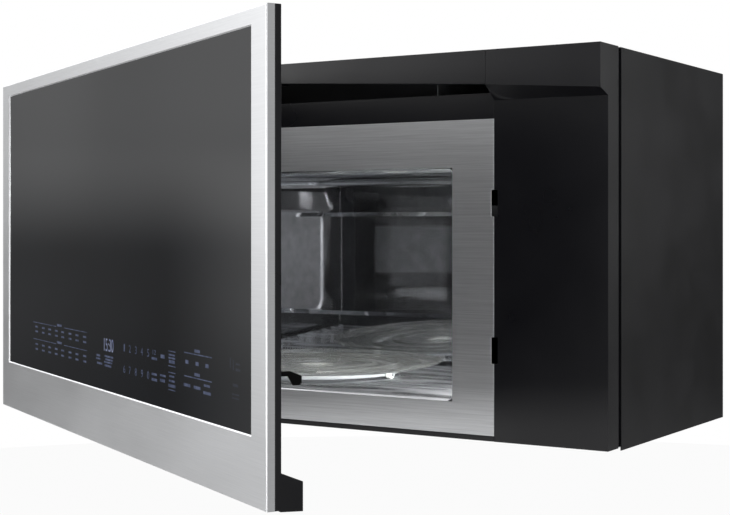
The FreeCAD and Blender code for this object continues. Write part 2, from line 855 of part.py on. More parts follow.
guide_y0 = table_y - 52
guide_y1 = table_y + 52
guide_z0 = dims.cavity_floor + 63.5
guide_z1 = guide_z0 + 100
port = (table_y - 40, table_y + 40, guide_z0 + 20, guide_z1 - 20)
LAMP_GRID = [(front + 34 + 6 * i, cavity_roof - 66.5 + 6 * j) for i in range(6) for j in range(5)]
VENT_GRID = [(cavity_left + 110 + 4 * i, dims.cavity_floor + 9.5 + 4 * j)
             for i in range(12) for j in range(3)]
panel_y0 = front + 50
panel_y1 = front + 250
panel_z0 = dims.cavity_floor + 46.5
panel_z1 = cavity_roof - 32.5
field_x0 = cavity_left + dims.field_margin
field_x1 = cavity_right - dims.field_margin
field_z0 = dims.cavity_floor + dims.field_rise
field_z1 = cavity_roof - dims.field_drop


def cavity_box():
    g, e = dims.gauge, dims.emboss
    x0, x1, z0, z1 = cavity_left, cavity_right, dims.cavity_floor, cavity_roof
    walls = block(x0 - g, x1 + g, frame_back, cavity_back + g, z0 - g, z1 + g)
    back_boss = block(field_x0, field_x1, cavity_back, cavity_back + g + e, field_z0 - g, field_z1 + g)
    left_boss = block(x0 - g - e, x0, panel_y0 - g, panel_y1 + g, panel_z0 - g, panel_z1 + g)
    room = block(x0, x1, frame_back - 1, cavity_back, z0, z1)
    back_field = block(field_x0 + g, field_x1 - g, cavity_back - 1, cavity_back + e, field_z0, field_z1)
    left_field = block(x0 - e, x0 + 1, panel_y0, panel_y1, panel_z0, panel_z1)
    wave_port = block(x1 - 1, x1 + g + 1, *port)
    spindle_hole = rod("Z", z0 - g - 1, z0 + 1, table_x, table_y, dims.spindle_radius + 5.5)
    lamp_holes = [rod("X", x1 - 1, x1 + g + 1, y, z, 1.6) for y, z in LAMP_GRID]
    vents = [rod("Y", cavity_back - 1, cavity_back + g + 1, x, z, 1.3) for x, z in VENT_GRID]
    node("cavity_box", cut(fuse(walls, back_boss, left_boss), room, back_field, left_field,
                           wave_port, spindle_hole, *lamp_holes, *vents))


def waveguide_cover():
    y0, y1, z0, z1 = port
    node("waveguide_cover", block(cavity_right - 0.6, cavity_right, y0 - 10, y1 + 10, z0 - 10, z1 + 10))


def cavity_lamp():
    y0, z0 = LAMP_GRID[0]
    y1, z1 = LAMP_GRID[-1]
    box = shell((wall_right, wall_right + 34), (y0 - 5, y1 + 5), (z0 - 5, z1 + 5), 1.2, "-x")
    y, z = (y0 + y1) / 2, (z0 + z1) / 2
    socket = rod("X", wall_right + 22, wall_right + 33, y, z, 8)
    bulb = rod("X", wall_right + 5, wall_right + 23, y, z, 9.5)
    node("cavity_lamp", fuse(box, socket, bulb))


def waveguide():
    x1 = wall_right + dims.guide_width
    duct = shell((wall_right, x1), (guide_y0, guide_y1), (guide_z0, guide_z1), 1.2, "-x")
    node("waveguide", cut(duct, rod("X", x1 - 3, x1 + 1, table_y, magnetron_z, 12)))


# ---------------------------------------------------------------- electrical bay

magnetron_z = guide_z0 + 52
magnetron_x = wall_right + dims.guide_width
core_radius = 18
yoke_half = dims.yoke_width / 2


def magnetron():
    y0, y1 = table_y - yoke_half, table_y + yoke_half
    z0, z1 = magnetron_z - yoke_half, magnetron_z + yoke_half
    flange = block(magnetron_x, magnetron_x + 2, y0, y1, z0, z1)
    antenna = rod("X", magnetron_x - 22, magnetron_x + 1, table_y, magnetron_z, 9)
    yoke = cut(block(magnetron_x + 1, magnetron_x + 72, y0, y1, z0, z1),
               block(magnetron_x + 4, magnetron_x + 70, y0 - 1, y1 + 1, z0 + 2, z1 - 2))
    core = rod("X", magnetron_x + 3, magnetron_x + 71, table_y, magnetron_z, core_radius)
    filter_box = block(magnetron_x + 71, magnetron_x + 94, y0 + 12, y1 - 12, z0 + 12, z1 - 12)
    node("magnetron", fuse(flange, antenna, yoke, core, filter_box))


def magnetron_fins():
    y0, y1 = table_y - yoke_half + 3, table_y + yoke_half - 3
    z0, z1 = magnetron_z - yoke_half + 2, magnetron_z + yoke_half - 2
    fins = []
    for i in range(7):
        x = magnetron_x + 10 + 8.5 * i
        bore = rod("X", x - 1, x + 2, table_y, magnetron_z, core_radius + 0.02)
        fins.append(cut(block(x, x + 0.8, y0, y1, z0, z1), bore))
    node("magnetron_fins", group(*fins))


bay_left = wall_right + 2
bay_right = half - 7


def component_tray():
    """Sheet deck on two legs, which start behind the cooktop lamps."""
    wall = 1.2
    y0 = front + dims.bay_setback
    y1 = y0 + dims.bay_depth
    deck = block(bay_left, bay_right, y0, y1, dims.bay_floor - wall, dims.bay_floor)
    legs = [block(x, x + wall, lens_y1 + 4, y1, dims.gauge, dims.bay_floor)
            for x in (bay_left, bay_right - wall)]
    node("component_tray", fuse(deck, *legs))


core_x = wall_right + 56
core_y = front + dims.core_setback
limb = dims.core_length / 6
coil_z0 = dims.bay_floor + 16
coil_z1 = coil_z0 + 34


def transformer_core():
    core = block(core_x, core_x + dims.core_length, core_y, core_y + dims.core_depth,
                 dims.bay_floor, dims.bay_floor + dims.core_height)
    windows = [
        block(core_x + x, core_x + x + limb, core_y - 1, core_y + dims.core_depth + 1, coil_z0, coil_z1)
        for x in (limb, 4 * limb)
    ]
    node("transformer_core", cut(core, *windows))


def transformer_coil():
    overhang = 18
    coil = block(core_x + limb, core_x + 5 * limb, core_y - overhang, core_y + dims.core_depth + overhang,
                 coil_z0, coil_z1)
    middle_limb = block(core_x + 2 * limb, core_x + 4 * limb, core_y, core_y + dims.core_depth,
                        coil_z0 - 1, coil_z1 + 1)
    node("transformer_coil", cut(coil, middle_limb))


def capacitor():
    can = rod("Z", dims.bay_floor, dims.bay_floor + 68, bay_right - 24, table_y + 20, 17)
    posts = [rod("Z", dims.bay_floor + 67, dims.bay_floor + 74, bay_right - 24 + x, table_y + 20, 2)
             for x in (-8, 8)]
    node("capacitor", fuse(can, *posts))


fan_x = wall_right + 82
fan_z = 112
fan_y0 = cavity_back - 68
fan_y1 = fan_y0 + 30


def fan_shroud():
    reach = dims.fan_radius + 10
    shroud_top = dims.bay_floor + dims.shroud_height
    plate_box = block(fan_x - reach, fan_x + reach, fan_y0, fan_y1, dims.bay_floor, shroud_top)
    bore = rod("Y", fan_y0 - 1, fan_y1 + 1, fan_x, fan_z, dims.fan_radius + 3)
    strut = block(fan_x - 5, fan_x + 5, fan_y1, fan_y1 + 4, dims.bay_floor, shroud_top)
    hole = rod("Y", fan_y1 - 1, fan_y1 + 5, fan_x, fan_z, 4.5)
    node("fan_shroud", fuse(cut(plate_box, bore), cut(strut, hole)))


def fan_motor():
    y0 = fan_y1 + 4
    can = rod("Y", y0, y0 + 32, fan_x, fan_z, 24)
    bore = rod("Y", y0 - 1, y0 + 9, fan_x, fan_z, 3.05)
    node("fan_motor", cut(can, bore))


def fan_blade():
    """Six pitched blades on a hub and its shaft."""
    hub = rod("Y", fan_y0 + 4, fan_y0 + 26, fan_x, fan_z, 14)
    shaft = rod("Y", fan_y0 + 25, fan_y1 + 12, fan_x, fan_z, 3)
    blades = []
    for i in range(6):
        blade = doc.addObject("Part::Box", "blade")
        bind(blade, "Length", dims.fan_radius - 10)
        blade.Width = 20
        blade.Height = 1.6
        pitch = Rotation(Vector(1, 0, 0), 35)
        turn = Rotation(Vector(0, 1, 0), 60 * i)
        start = (turn * pitch).multVec(Vector(10, -10, -0.8))
        blade.Placement = FreeCAD.Placement(Vector(), turn * pitch)
        blades.append(move(blade, fan_x + start.x, fan_y0 + 15 + start.y, fan_z + start.z))
    node("fan_blade", fuse(hub, shaft, *blades))


def power_board():
    y = panel_back + boss_length
    board = block(panel_left + 15.3, half - 11, y, y + 1.6, 60, top - 81)
    x = panel_left + 25.3
    parts = [block(x, x + 20, y + 1, y + 18, z, z + 22) for z in (90, 122, 154)]
    parts.append(block(x + 33, x + 73, y + 1, y + 24, 100, 138))
    parts += [rod("Y", y + 1, y + 22, x + right, 170, 9) for right in (45, 67)]
    parts.append(block(x + 5, x + 65, y + 1, y + 12, 220, 236))
    node("power_board", fuse(board, *parts))


# ---------------------------------------------------------------- turntable

def turntable_motor():
    under = dims.cavity_floor - dims.gauge
    can = rod("Z", under - dims.table_motor_height, under, table_x, table_y, dims.table_motor_radius)
    bore = rod("Z", under - 14, under + 1, table_x, table_y, dims.spindle_radius + 0.05)
    node("turntable_motor", cut(can, bore))


def turntable_coupler():
    base = dims.cavity_floor
    spindle = rod("Z", base - 14.5, base + 3, table_x, table_y, dims.spindle_radius)
    hub = rod("Z", base + 2, tray_under, table_x, table_y, dims.hub_radius)
    lobes = []
    for i in range(3):
        lobe = doc.addObject("Part::Box", "lobe")
        bind(lobe, "Length", dims.hub_radius + 9)
        lobe.Width = 7
        bind(lobe, "Height", tray_under - base - 5)
        turn = Rotation(Vector(0, 0, 1), 120 * i)
        start = turn.multVec(Vector(0, -3.5, 0))
        lobe.Placement = FreeCAD.Placement(Vector(), turn)
        lobes.append(move(lobe, table_x + start.x, table_y + start.y, base + 5))
    node("turntable_coupler", fuse(spindle, hub, *lobes))


def turntable_tray():
    r, rise, wall = dims.tray_radius, dims.tray_rise, dims.tray_wall
    section = [
        (0, 0), (r - 16, 0), (r - 4, rise - 4), (r, rise), (r - 2.4, rise),
        (r - 5.6, rise - 1.4), (r - 16.6, wall), (0, wall),
    ]
    node("turntable_tray", move(turned(section), table_x, table_y, tray_under))


roller_start = dims.roller_track - dims.roller_width / 2


def roller_ring():
    """Flat ring with three short radial axles; a cap holds each roller on its axle."""
    outer = roller_start - dims.fit
    hoop = cut(rod("Z", roller_height - 1.8, roller_height + 1.8, table_x, table_y, outer),
               rod("Z", roller_height - 3, roller_height + 3, table_x, table_y, outer - 9))
    pieces = [hoop]
    for i in range(3):
        turn = Rotation(Vector(0, 0, 1), 120 * i)
        way = turn.multVec(Vector(1, 0, 0))
        spans = ((outer - 2, roller_start + dims.roller_width + 1, dims.axle_radius),
                 (roller_start + dims.roller_width + dims.fit, roller_start + dims.roller_width + 2.5, 2.4))
        for start, end, radius in spans:
            axle = doc.addObject("Part::Cylinder", "axle")
            bind(axle, "Radius", radius)
            bind(axle, "Height", size(end) - start)
            axle.Placement = FreeCAD.Placement(Vector(), turn * TURNS["X"])
            pieces.append(move(axle, table_x + start * way.x, table_y + start * way.y, roller_height))
    node("roller_ring", fuse(*pieces))


def rollers():
    for i in range(3):
        turn = Rotation(Vector(0, 0, 1), 120 * i)
        way = turn.multVec(Vector(1, 0, 0))
        body = doc.addObject("PartDesign::Body", "roller")
        circles = [(0, 0, dims.roller_radius), (0, 0, dims.axle_radius + 0.07)]
        pad(body, outline(body, "XY_Plane", [], 0, circles), dims.roller_width)
        body.Placement = FreeCAD.Placement(Vector(), turn * TURNS["X"])
        move(body, table_x + roller_start * way.x, table_y + roller_start * way.y, roller_height)
        node(f"roller_{i + 1}", body)


# ---------------------------------------------------------------- air path

blower_y = cavity_back - 53
blower_z = roof_top + 2.5 + dims.blower_radius
scroll_near = 50
scroll_far = scroll_near + dims.wheel_width + 15
outlet_y = blower_y - 115
motor_radius = 36


def blower_housing():
    """Two scroll casings side by side on one saddle, each with its own outlet to the front."""
    wall = 1.5
    r = dims.blower_radius
    outer, inner = [], []
    for side in (-1, 1):
        x0, x1 = mirrored(size(scroll_near), scroll_far, side)
        outer.append(rod("X", x0, x1, blower_y, blower_z, r))
        outer.append(block(x0, x1, outlet_y, blower_y, blower_z + 8, blower_z + r))
        inner.append(rod("X", x0 + wall, x1 - wall, blower_y, blower_z, r - wall))
        inner.append(block(x0 + wall, x1 - wall, outlet_y - 1, blower_y,
                           blower_z + 8 + wall, blower_z + r - wall))
        inner.append(rod("X", x0 - 1, x1 + 1, blower_y, blower_z, dims.wheel_radius - 8))
    saddle = block(-scroll_far, scroll_far, blower_y - 30, blower_y + 30, roof_top, roof_top + 10)
    seat = block(-scroll_near - 5, scroll_near + 5, blower_y - 22, blower_y + 22, roof_top, roof_top + 26)
    clear = rod("X", -scroll_near, scroll_near, blower_y, blower_z, motor_radius + 0.1)
    node("blower_housing", cut(fuse(*outer, saddle, seat), *inner, clear))


def blower_motor():
    can = rod("X", -scroll_near + 4, scroll_near - 4, blower_y, blower_z, motor_radius)
    bore = rod("X", -scroll_near, scroll_near, blower_y, blower_z, 4.05)
    node("blower_motor", cut(can, bore))


def blower_wheels():
    """Two drum wheels of forward blades on one shaft through the motor."""
    pieces = [rod("X", -scroll_far + 8, scroll_far - 8, blower_y, blower_z, 4)]
    r = dims.wheel_radius
    for side in (-1, 1):
        start, end = mirrored(size(scroll_near) + 7.5, scroll_near + 7.5 + dims.wheel_width, side)
        middle = (start + end) / 2
        pieces.append(rod("X", middle - 0.8, middle + 0.8, blower_y, blower_z, r))
        for x in (start, end - 2):
            pieces.append(cut(rod("X", x, x + 2, blower_y, blower_z, r),
                              rod("X", x - 1, x + 3, blower_y, blower_z, r - 8)))
        wheel = doc.addObject("PartDesign::Body", "wheel")
        blade = outline(wheel, "YZ_Plane", [rectangle(r - 7.5, r - 0.5, -0.6, 0.6)], start + 0.5)
        first = pad(wheel, blade, dims.wheel_width - 1)
        pattern = wheel.newObject("PartDesign::PolarPattern", "pattern")
        pattern.Originals = [first]
        pattern.Axis = (blade, ["N_Axis"])
        pattern.Angle = 360
        bind(pattern, "Occurrences", dims.blade_count)
        wheel.Tip = pattern
        pieces.append(move(wheel, 0, blower_y, blower_z))
    node("blower_wheels", fuse(*pieces))


duct_half = dims.duct_width / 2
duct_front = case_front - 1.6
duct_floor = blower_z + 4


def outlet_duct():
    node("outlet_duct", shell((-duct_half, duct_half), (duct_front, outlet_y - dims.fit),
                              (duct_floor, top - dims.gauge), dims.gauge, "-y+y"))


def charcoal_filter():
    g = dims.gauge
    x0, x1 = -duct_half + g + 1, duct_half - g - 1
    z0, z1 = duct_floor + g, top - 2 * g - 1
    y0 = duct_front + 4
    frame = cut(block(x0, x1, y0, y0 + 12, z0, z1), block(x0 + 8, x1 - 8, y0 - 1, y0 + 13, z0 + 6, z1 - 6))
    pad_block = block(x0 + 8, x1 - 8, y0 + 2, y0 + 10, z0 + 6, z1 - 6)
    node("charcoal_filter", group(frame, pad_block))


def grease_filters():
    """Two framed mesh filters; the front tabs rest on the base, the rear tab springs."""
    for name, side in (("grease_filter_left", -1), ("grease_filter_right", 1)):
        x0, x1 = mirrored(dims.filter_near + 0.6, dims.filter_far - 0.6, side)
        y0, y1 = filter_y0 + 0.4, filter_y1 - dims.filter_travel - 0.4
        frame = cut(block(x0, x1, y0, y1, 0, 8), block(x0 + 7, x1 - 7, y0 + 7, y1 - 7, -1, 9))
        mesh = block(x0 + 7, x1 - 7, y0 + 7, y1 - 7, 2, 6)
        rest = dims.gauge + 0.2
        tabs = [block(x, x + 24, y0 - 3.6, y0 + 1, rest, rest + 2) for x in (x0 + 16, x1 - 40)]
        spring_tab = block((x0 + x1) / 2 - 14, (x0 + x1) / 2 + 14, y1 - 1, filter_y1 + 2, rest, rest + 2)
        node(name, group(fuse(frame, *tabs, spring_tab), mesh))


def cooktop_lights():
    lamps, lenses = [], []
    g = dims.gauge
    for side in (-1, 1):
        x0, x1 = mirrored(dims.lens_near, lens_far, side)
        face = block(x0 + 0.3, x1 - 0.3, lens_y0 + 0.3, lens_y1 - 0.3, 0, g + 0.5)
        flange = block(x0 - 3, x1 + 3, lens_y0 - 2.2, lens_y1 + 3, g, g + 1.5)
        lenses.append(fuse(face, flange))
        lamps.append(shell((x0, x1), (lens_y0, lens_y1), (g + 1.5, g + 20), 1.5, "-z"))
    node("cooktop_lenses", group(*lenses))
    node("cooktop_lamps", group(*lamps))


for build in (
    outer_case, rear_plate, wall_bracket, base_plate, base_screws, cord_bushing,
    front_frame, right_panel, left_trim, vent_grille, vent_louvres, vent_sill, lower_trim,
    hinge_brackets, hinge_pins, door_hinge_plates,
    door_frame, door_glass, door_rim, touch_board, choke_frame, window_screen, choke_cover,
    inner_window, latch_housing, latch_bar, latch_spring, latch_board, interlock_switches, plungers,
    cavity_box, waveguide_cover, cavity_lamp, waveguide, magnetron, magnetron_fins,
    component_tray, transformer_core, transformer_coil, capacitor, fan_shroud, fan_motor, fan_blade,
    power_board, turntable_motor, turntable_coupler, turntable_tray, roller_ring, rollers,
    blower_housing, blower_motor, blower_wheels, outlet_duct, charcoal_filter, grease_filters,
    cooktop_lights,
):
    build()
doc.recompute()

faults = [item.Name for item in doc.Objects if {"Invalid", "Error"} & set(item.State)]
faults += [item.Label for item in NODES if item.Shape.isNull() or not item.Shape.isValid()]
if faults:
    raise RuntimeError(f"these objects failed: {faults}")

os.makedirs("parts", exist_ok=True)
for item in NODES:
    item.Shape.exportStep(os.path.join("parts", f"{item.Label}.step"))
    box = item.Shape.BoundBox
    print(f"{item.Label}: {len(item.Shape.Solids)} solids, {item.Shape.Volume / 1000:.1f} cm3, "
          f"X {box.XMin:.1f}..{box.XMax:.1f} Y {box.YMin:.1f}..{box.YMax:.1f} "
          f"Z {box.ZMin:.1f}..{box.ZMax:.1f}")
print(f"{len(NODES)} sub-parts")
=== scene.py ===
import json
import math

import bmesh
import bpy
from mathutils import Euler, Matrix, Vector


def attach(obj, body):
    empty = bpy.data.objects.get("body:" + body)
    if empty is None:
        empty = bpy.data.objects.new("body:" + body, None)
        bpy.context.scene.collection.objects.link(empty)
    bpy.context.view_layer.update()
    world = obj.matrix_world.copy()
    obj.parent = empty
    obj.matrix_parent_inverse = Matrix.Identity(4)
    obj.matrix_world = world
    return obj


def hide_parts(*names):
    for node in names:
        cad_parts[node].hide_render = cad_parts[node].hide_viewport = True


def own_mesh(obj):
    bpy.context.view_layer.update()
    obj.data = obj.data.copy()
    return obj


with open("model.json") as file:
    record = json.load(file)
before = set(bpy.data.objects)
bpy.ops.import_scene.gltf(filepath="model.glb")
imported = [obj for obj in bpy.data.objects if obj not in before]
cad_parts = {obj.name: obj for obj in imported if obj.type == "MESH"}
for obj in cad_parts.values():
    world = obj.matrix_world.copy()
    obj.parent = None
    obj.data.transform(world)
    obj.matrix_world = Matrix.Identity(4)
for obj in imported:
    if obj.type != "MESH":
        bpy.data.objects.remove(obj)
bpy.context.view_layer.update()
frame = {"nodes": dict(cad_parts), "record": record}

# Sizes are millimetres unless a line says otherwise; Blender's are metres.
MM = 0.001

# The door turns about its hinge pins, and rests open. Door pieces are drawn from the pin,
# as if the door were shut, and then swung.
PIVOT = Vector((-364.0, -340.0, 0.0))
DOOR_ANGLE = math.radians(-29.4)
DOOR = Matrix.Translation(PIVOT * MM) @ Matrix.Rotation(DOOR_ANGLE, 4, "Z")
DOOR_LEFT, DOOR_RIGHT = -15.0, 743.0
DOOR_LOW, DOOR_HIGH = -2.6, 376.9
DOOR_FACE = -18.9
STILE, TOP_RAIL, BOTTOM_RAIL = 28.5, 14.0, 54.0
# The steel's face is this thick, and its return runs back this far in a thinner flange.
STEEL_SKIN, STEEL_RETURN, STEEL_FLANGE = 1.2, 7.1, 1.0
STEEL_EDGE = 1.1
# The glass lies this far in from the steel's outline, and between these depths behind its face.
GLASS_INSET, GLASS_FRONT, GLASS_REAR = 1.2, 1.0, 4.2

# The body: half its width, its top and its front plane; then the black sheet wrapped over it.
HALF, TOP, FRONT = 379.0, 381.0, -325.0
CASE_FRONT, CASE_FOOT, CASE_SHEET = -293.4, -3.0, 1.0
# Round holes in the case's top: x, y and radius. Two take bolts and one takes the cord's bushing.
CASE_HOLES = ((-270, -160, 3.5), (270, -160, 3.5), (330, -45, 14))

# The oven's walls, the radius of its corners, and the fields pressed into the left and rear
# walls: two opposite corners of each, as (along the wall, Z), with their depth.
CAVITY_X = (-317.0, 213.0)
CAVITY_Y = (-324.0, -22.0)
CAVITY_Z = (36.5, 268.5)
CAVITY_CORNER = 9
LEFT_FIELD = ((-275, 83), (-75, 236))
REAR_FIELD = ((-291, 97), (187, 228))
FIELD_DEPTH, FIELD_CORNER, FIELD_SLOPE = 2.2, 22, 5
# How far the strip under the rear wall's field leans forward at its top.
REAR_LEAN = 1.9
# The black discs painted as shade in the oven's punched holes are this thick.
HOLE_SHADE_DEPTH = 0.3
TABLE = (-52.0, -172.0)

# A point this near to a plane counts as lying on it.
NEAR = 0.1
# Edges that turn by more than this are rounded.
SHARP_EDGE = math.radians(35)
# Noise hardly ever leaves these values, so colours and roughness are spread between them.
NOISE_LOW, NOISE_HIGH = 0.3, 0.7


# ---------------------------------------------------------------- mesh tools

def slab(bm, x, y, z):
    """A block between these limits."""
    middle = Vector([(low + high) / 2 for low, high in (x, y, z)]) * MM
    lengths = [abs(high - low) * MM for low, high in (x, y, z)]
    place = Matrix.Translation(middle) @ Matrix.Diagonal((*lengths, 1))
    bmesh.ops.create_cube(bm, size=1, matrix=place)


TURN = {
    "X": Matrix.Rotation(math.pi / 2, 4, "Y"),
    "Y": Matrix.Rotation(-math.pi / 2, 4, "X"),
    "Z": Matrix.Identity(4),
}


def rod(bm, axis, middle, length, radius, sides):
    """A capped cylinder along X, Y or Z."""
    place = Matrix.Translation(Vector(middle) * MM) @ TURN[axis]
    bmesh.ops.create_cone(bm, cap_ends=True, segments=sides, radius1=radius * MM,
                          radius2=radius * MM, depth=length * MM, matrix=place)


def plate(x, z, y, opening_x, opening_z):
    """A plate standing across Y, with a rectangular opening."""
    bm = bmesh.new()
    middle = Vector(((x[0] + x[1]) / 2, y[0], (z[0] + z[1]) / 2)) * MM
    place = Matrix.Translation(middle) @ Matrix.Rotation(math.pi / 2, 4, "X")
    place = place @ Matrix.Diagonal(((x[1] - x[0]) * MM, (z[1] - z[0]) * MM, 1, 1))
    bmesh.ops.create_grid(bm, x_segments=1, y_segments=1, size=0.5, matrix=place)
    for at, normal in [((value, 0, 0), (1, 0, 0)) for value in opening_x] + [
            ((0, 0, value), (0, 0, 1)) for value in opening_z]:
        bmesh.ops.bisect_plane(bm, geom=bm.verts[:] + bm.edges[:] + bm.faces[:],
                               plane_co=Vector(at) * MM, plane_no=normal)
    inside = [
        face for face in bm.faces
        if opening_x[0] < face.calc_center_median().x / MM < opening_x[1]
        and opening_z[0] < face.calc_center_median().z / MM < opening_z[1]
    ]
    bmesh.ops.delete(bm, geom=inside, context="FACES")
    thick = bmesh.ops.extrude_face_region(bm, geom=bm.faces[:])["geom"]
    bmesh.ops.translate(bm, verts=[v for v in thick if isinstance(v, bmesh.types.BMVert)],
                        vec=(0, (y[1] - y[0]) * MM, 0))
    return bm


def section(points, start, end):
    """A straight length along Y of a cross-section of (x, z) points."""
    bm = bmesh.new()
    face = bm.faces.new([bm.verts.new(Vector((x, start, z)) * MM) for x, z in points])
    far = bmesh.ops.extrude_face_region(bm, geom=[face])["geom"]
    bmesh.ops.translate(bm, verts=[v for v in far if isinstance(v, bmesh.types.BMVert)],
                        vec=(0, (end - start) * MM, 0))
    return bm


def turned(profile, centre, steps):
    """A (radius, height) profile spun about an upright axis."""
    bm = bmesh.new()
    verts = [bm.verts.new(Vector((centre[0] + r, centre[1], h)) * MM) for r, h in profile]
    edges = [bm.edges.new(pair) for pair in zip(verts, verts[1:])]
    bmesh.ops.spin(bm, geom=verts + edges, cent=Vector((*centre, 0)) * MM, axis=(0, 0, 1),
                   angle=2 * math.pi, steps=steps, use_merge=True)
    bmesh.ops.remove_doubles(bm, verts=bm.verts, dist=0.00001)
    return bm


def rounded(bm, width, segments=2, where=None):
    """Rounds the sharp edges, or only those of them that where picks."""
    edges = [
        edge for edge in bm.edges
        if edge.is_manifold and edge.calc_face_angle() > SHARP_EDGE
        and (where is None or where(edge))
    ]
    bmesh.ops.bevel(bm, geom=edges, offset=width * MM, offset_type="OFFSET", segments=segments,
                    profile=0.5, affect="EDGES", material=-1, clamp_overlap=True)
    return bm


def merged(*parts):
    """Several meshes as one."""
    whole = bmesh.new()
    for part in parts:
        spare = bpy.data.meshes.new("spare")
        part.to_mesh(spare)
        part.free()
        whole.from_mesh(spare)
        bpy.data.meshes.remove(spare)
    return whole


def swung(bm):
    """Turns what is drawn on the shut door to where the door rests."""
    bmesh.ops.transform(bm, matrix=DOOR, verts=bm.verts)
    return bm


def copy_of(node):
    """The welded mesh of a node's solids, their flat faces whole again."""
    bm = bmesh.new()
    bm.from_mesh(frame["nodes"][node].data)
    bmesh.ops.remove_doubles(bm, verts=bm.verts, dist=0.000002)
    bmesh.ops.dissolve_limit(bm, angle_limit=math.radians(1), verts=bm.verts, edges=bm.edges)
    return bm


BODIES = frame["record"]["behaviour"]["bodies"]
BODY_OF = {node: body for body, nodes in BODIES.items() for node in nodes}


def piece(name, bm, finish, node, replaces=True, smooth=30, outward=True):
    """A finished piece on the body of a node, which it stands for unless it only sits on it.

    Edges that turn by more than smooth, in degrees, stay sharp. With outward off, the mesh
    keeps the side that its faces show.
    """
    if outward:
        bmesh.ops.recalc_face_normals(bm, faces=bm.faces)
    mesh = bpy.data.meshes.new(name)
    bm.to_mesh(mesh)
    bm.free()
    mesh.materials.append(finish)
    mesh.shade_smooth()
    mesh.set_sharp_from_angle(angle=math.radians(smooth))
    made = bpy.data.objects.new(name, mesh)
    bpy.context.scene.collection.objects.link(made)
    made.modifiers.new("flat faces lead", "WEIGHTED_NORMAL").keep_sharp = True
    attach(made, BODY_OF[node])
    if replaces:
        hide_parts(node)
    return made


def cut_away(bm, tool):
    """What is left of a mesh when another mesh's space is taken out of it."""
    pair = []
    for name, source in (("work", bm), ("tool", tool)):
        item = bpy.data.objects.new(name, bpy.data.meshes.new(name))
        source.to_mesh(item.data)
        source.free()
        bpy.context.scene.collection.objects.link(item)
        pair.append(item)
    cut = pair[0].modifiers.new("cut", "BOOLEAN")
    cut.operation, cut.solver, cut.object = "DIFFERENCE", "EXACT", pair[1]
    left = bmesh.new()
    left.from_mesh(pair[0].evaluated_get(bpy.context.evaluated_depsgraph_get()).to_mesh())
    for item in pair:
        mesh = item.data
        bpy.data.objects.remove(item)
        bpy.data.meshes.remove(mesh)
    return left


# ---------------------------------------------------------------- material tools

def linear(code):
    """An sRGB hex colour as linear red, green and blue, with alpha 1."""
    parts = [int(code[i:i + 2], 16) / 255 for i in (1, 3, 5)]
    return (*[c / 12.92 if c <= 0.04045 else ((c + 0.055) / 1.055) ** 2.4 for c in parts], 1.0)


def add(tree, kind, inputs=None, **settings):
    """Adds a node; inputs gives each socket a value, or the output that feeds it."""
    made = tree.nodes.new(kind)
    for key, value in settings.items():
        setattr(made, key, value)
    for key, value in (inputs or {}).items():
        if isinstance(value, bpy.types.NodeSocket):
            tree.links.new(value, made.inputs[key])
        else:
            made.inputs[key].default_value = value
    return made


def base(name, colour, roughness, **more):
    """A new material with the shader's plain values; gives it, its tree and its shader."""
    made = bpy.data.materials.new(name)
    made.use_nodes = True
    shader = made.node_tree.nodes["Principled BSDF"]
    shader.inputs["Base Color"].default_value = linear(colour)
    shader.inputs["Roughness"].default_value = roughness
    for key, value in more.items():
        shader.inputs[key.replace("_", " ").title().replace("Ior", "IOR")].default_value = value
    return made, made.node_tree, shader


def pattern(tree, per_metre, on_door=False):
    """Object coordinates times a count per metre along each axis.

    On the door they are measured from its pin, as if it were shut.
    """
    place = add(tree, "ShaderNodeTexCoord").outputs["Object"]
    if on_door:
        back = Matrix.Rotation(-DOOR_ANGLE, 4, "Z")
        place = add(tree, "ShaderNodeMapping", {
            "Vector": place, "Rotation": Euler((0, 0, -DOOR_ANGLE)), "Location": -(back @ (PIVOT * MM)),
        }).outputs["Vector"]
    return add(tree, "ShaderNodeMapping", {"Vector": place, "Scale": per_metre}).outputs["Vector"]


def grain(tree, per_metre, detail, on_door=False):
    """Noise whose grains have these counts per metre along X, Y and Z."""
    return add(tree, "ShaderNodeTexNoise", {
        "Vector": pattern(tree, per_metre, on_door), "Scale": 1.0, "Detail": detail, "Roughness": 0.55,
    }).outputs["Fac"]


def between(tree, source, low, high):
    """A value that follows the noise between two limits."""
    return add(tree, "ShaderNodeMapRange", {
        "Value": source, "From Min": NOISE_LOW, "From Max": NOISE_HIGH, "To Min": low, "To Max": high,
    }).outputs["Result"]


def shades(tree, source, dark, light):
    """A colour that follows the noise between two hex colours."""
    ramp = add(tree, "ShaderNodeValToRGB", {"Fac": source})
    stops = ((NOISE_LOW, dark), (NOISE_HIGH, light))
    for stop, (position, code) in zip(ramp.color_ramp.elements, stops):
        stop.position = position
        stop.color = linear(code)
    return ramp.outputs["Color"]


def dent(tree, shader, height, depth, strength):
    """Lets a height bump the surface; depth is in millimetres, and strength eases it."""
    bump = add(tree, "ShaderNodeBump", {
        "Height": height, "Distance": depth * MM, "Strength": strength,
    })
    tree.links.new(bump.outputs["Normal"], shader.inputs["Normal"])


def drive(tree, shader, **sources):
    """Feeds inputs of the shader, each named by its keyword, from these outputs."""
    for key, source in sources.items():
        tree.links.new(source, shader.inputs[key.replace("_", " ").title()])


def combined(tree, operation, first, second):
    """Two values put together by a math node."""
    return add(tree, "ShaderNodeMath", {0: first, 1: second}, operation=operation).outputs["Value"]


def blended(tree, share, first, second):
    """The first value where the share is 0, the second where it is 1."""
    return add(tree, "ShaderNodeMix", {0: share, 2: first, 3: second}, data_type="FLOAT").outputs[0]


def layered(tree, share, first, second):
    """The first shader where the share is 0, the second where it is 1."""
    return add(tree, "ShaderNodeMixShader", {0: share, 1: first, 2: second}).outputs["Shader"]


def surface(tree, result):
    """Makes a shader what the material shows."""
    tree.links.new(result, tree.nodes["Material Output"].inputs["Surface"])


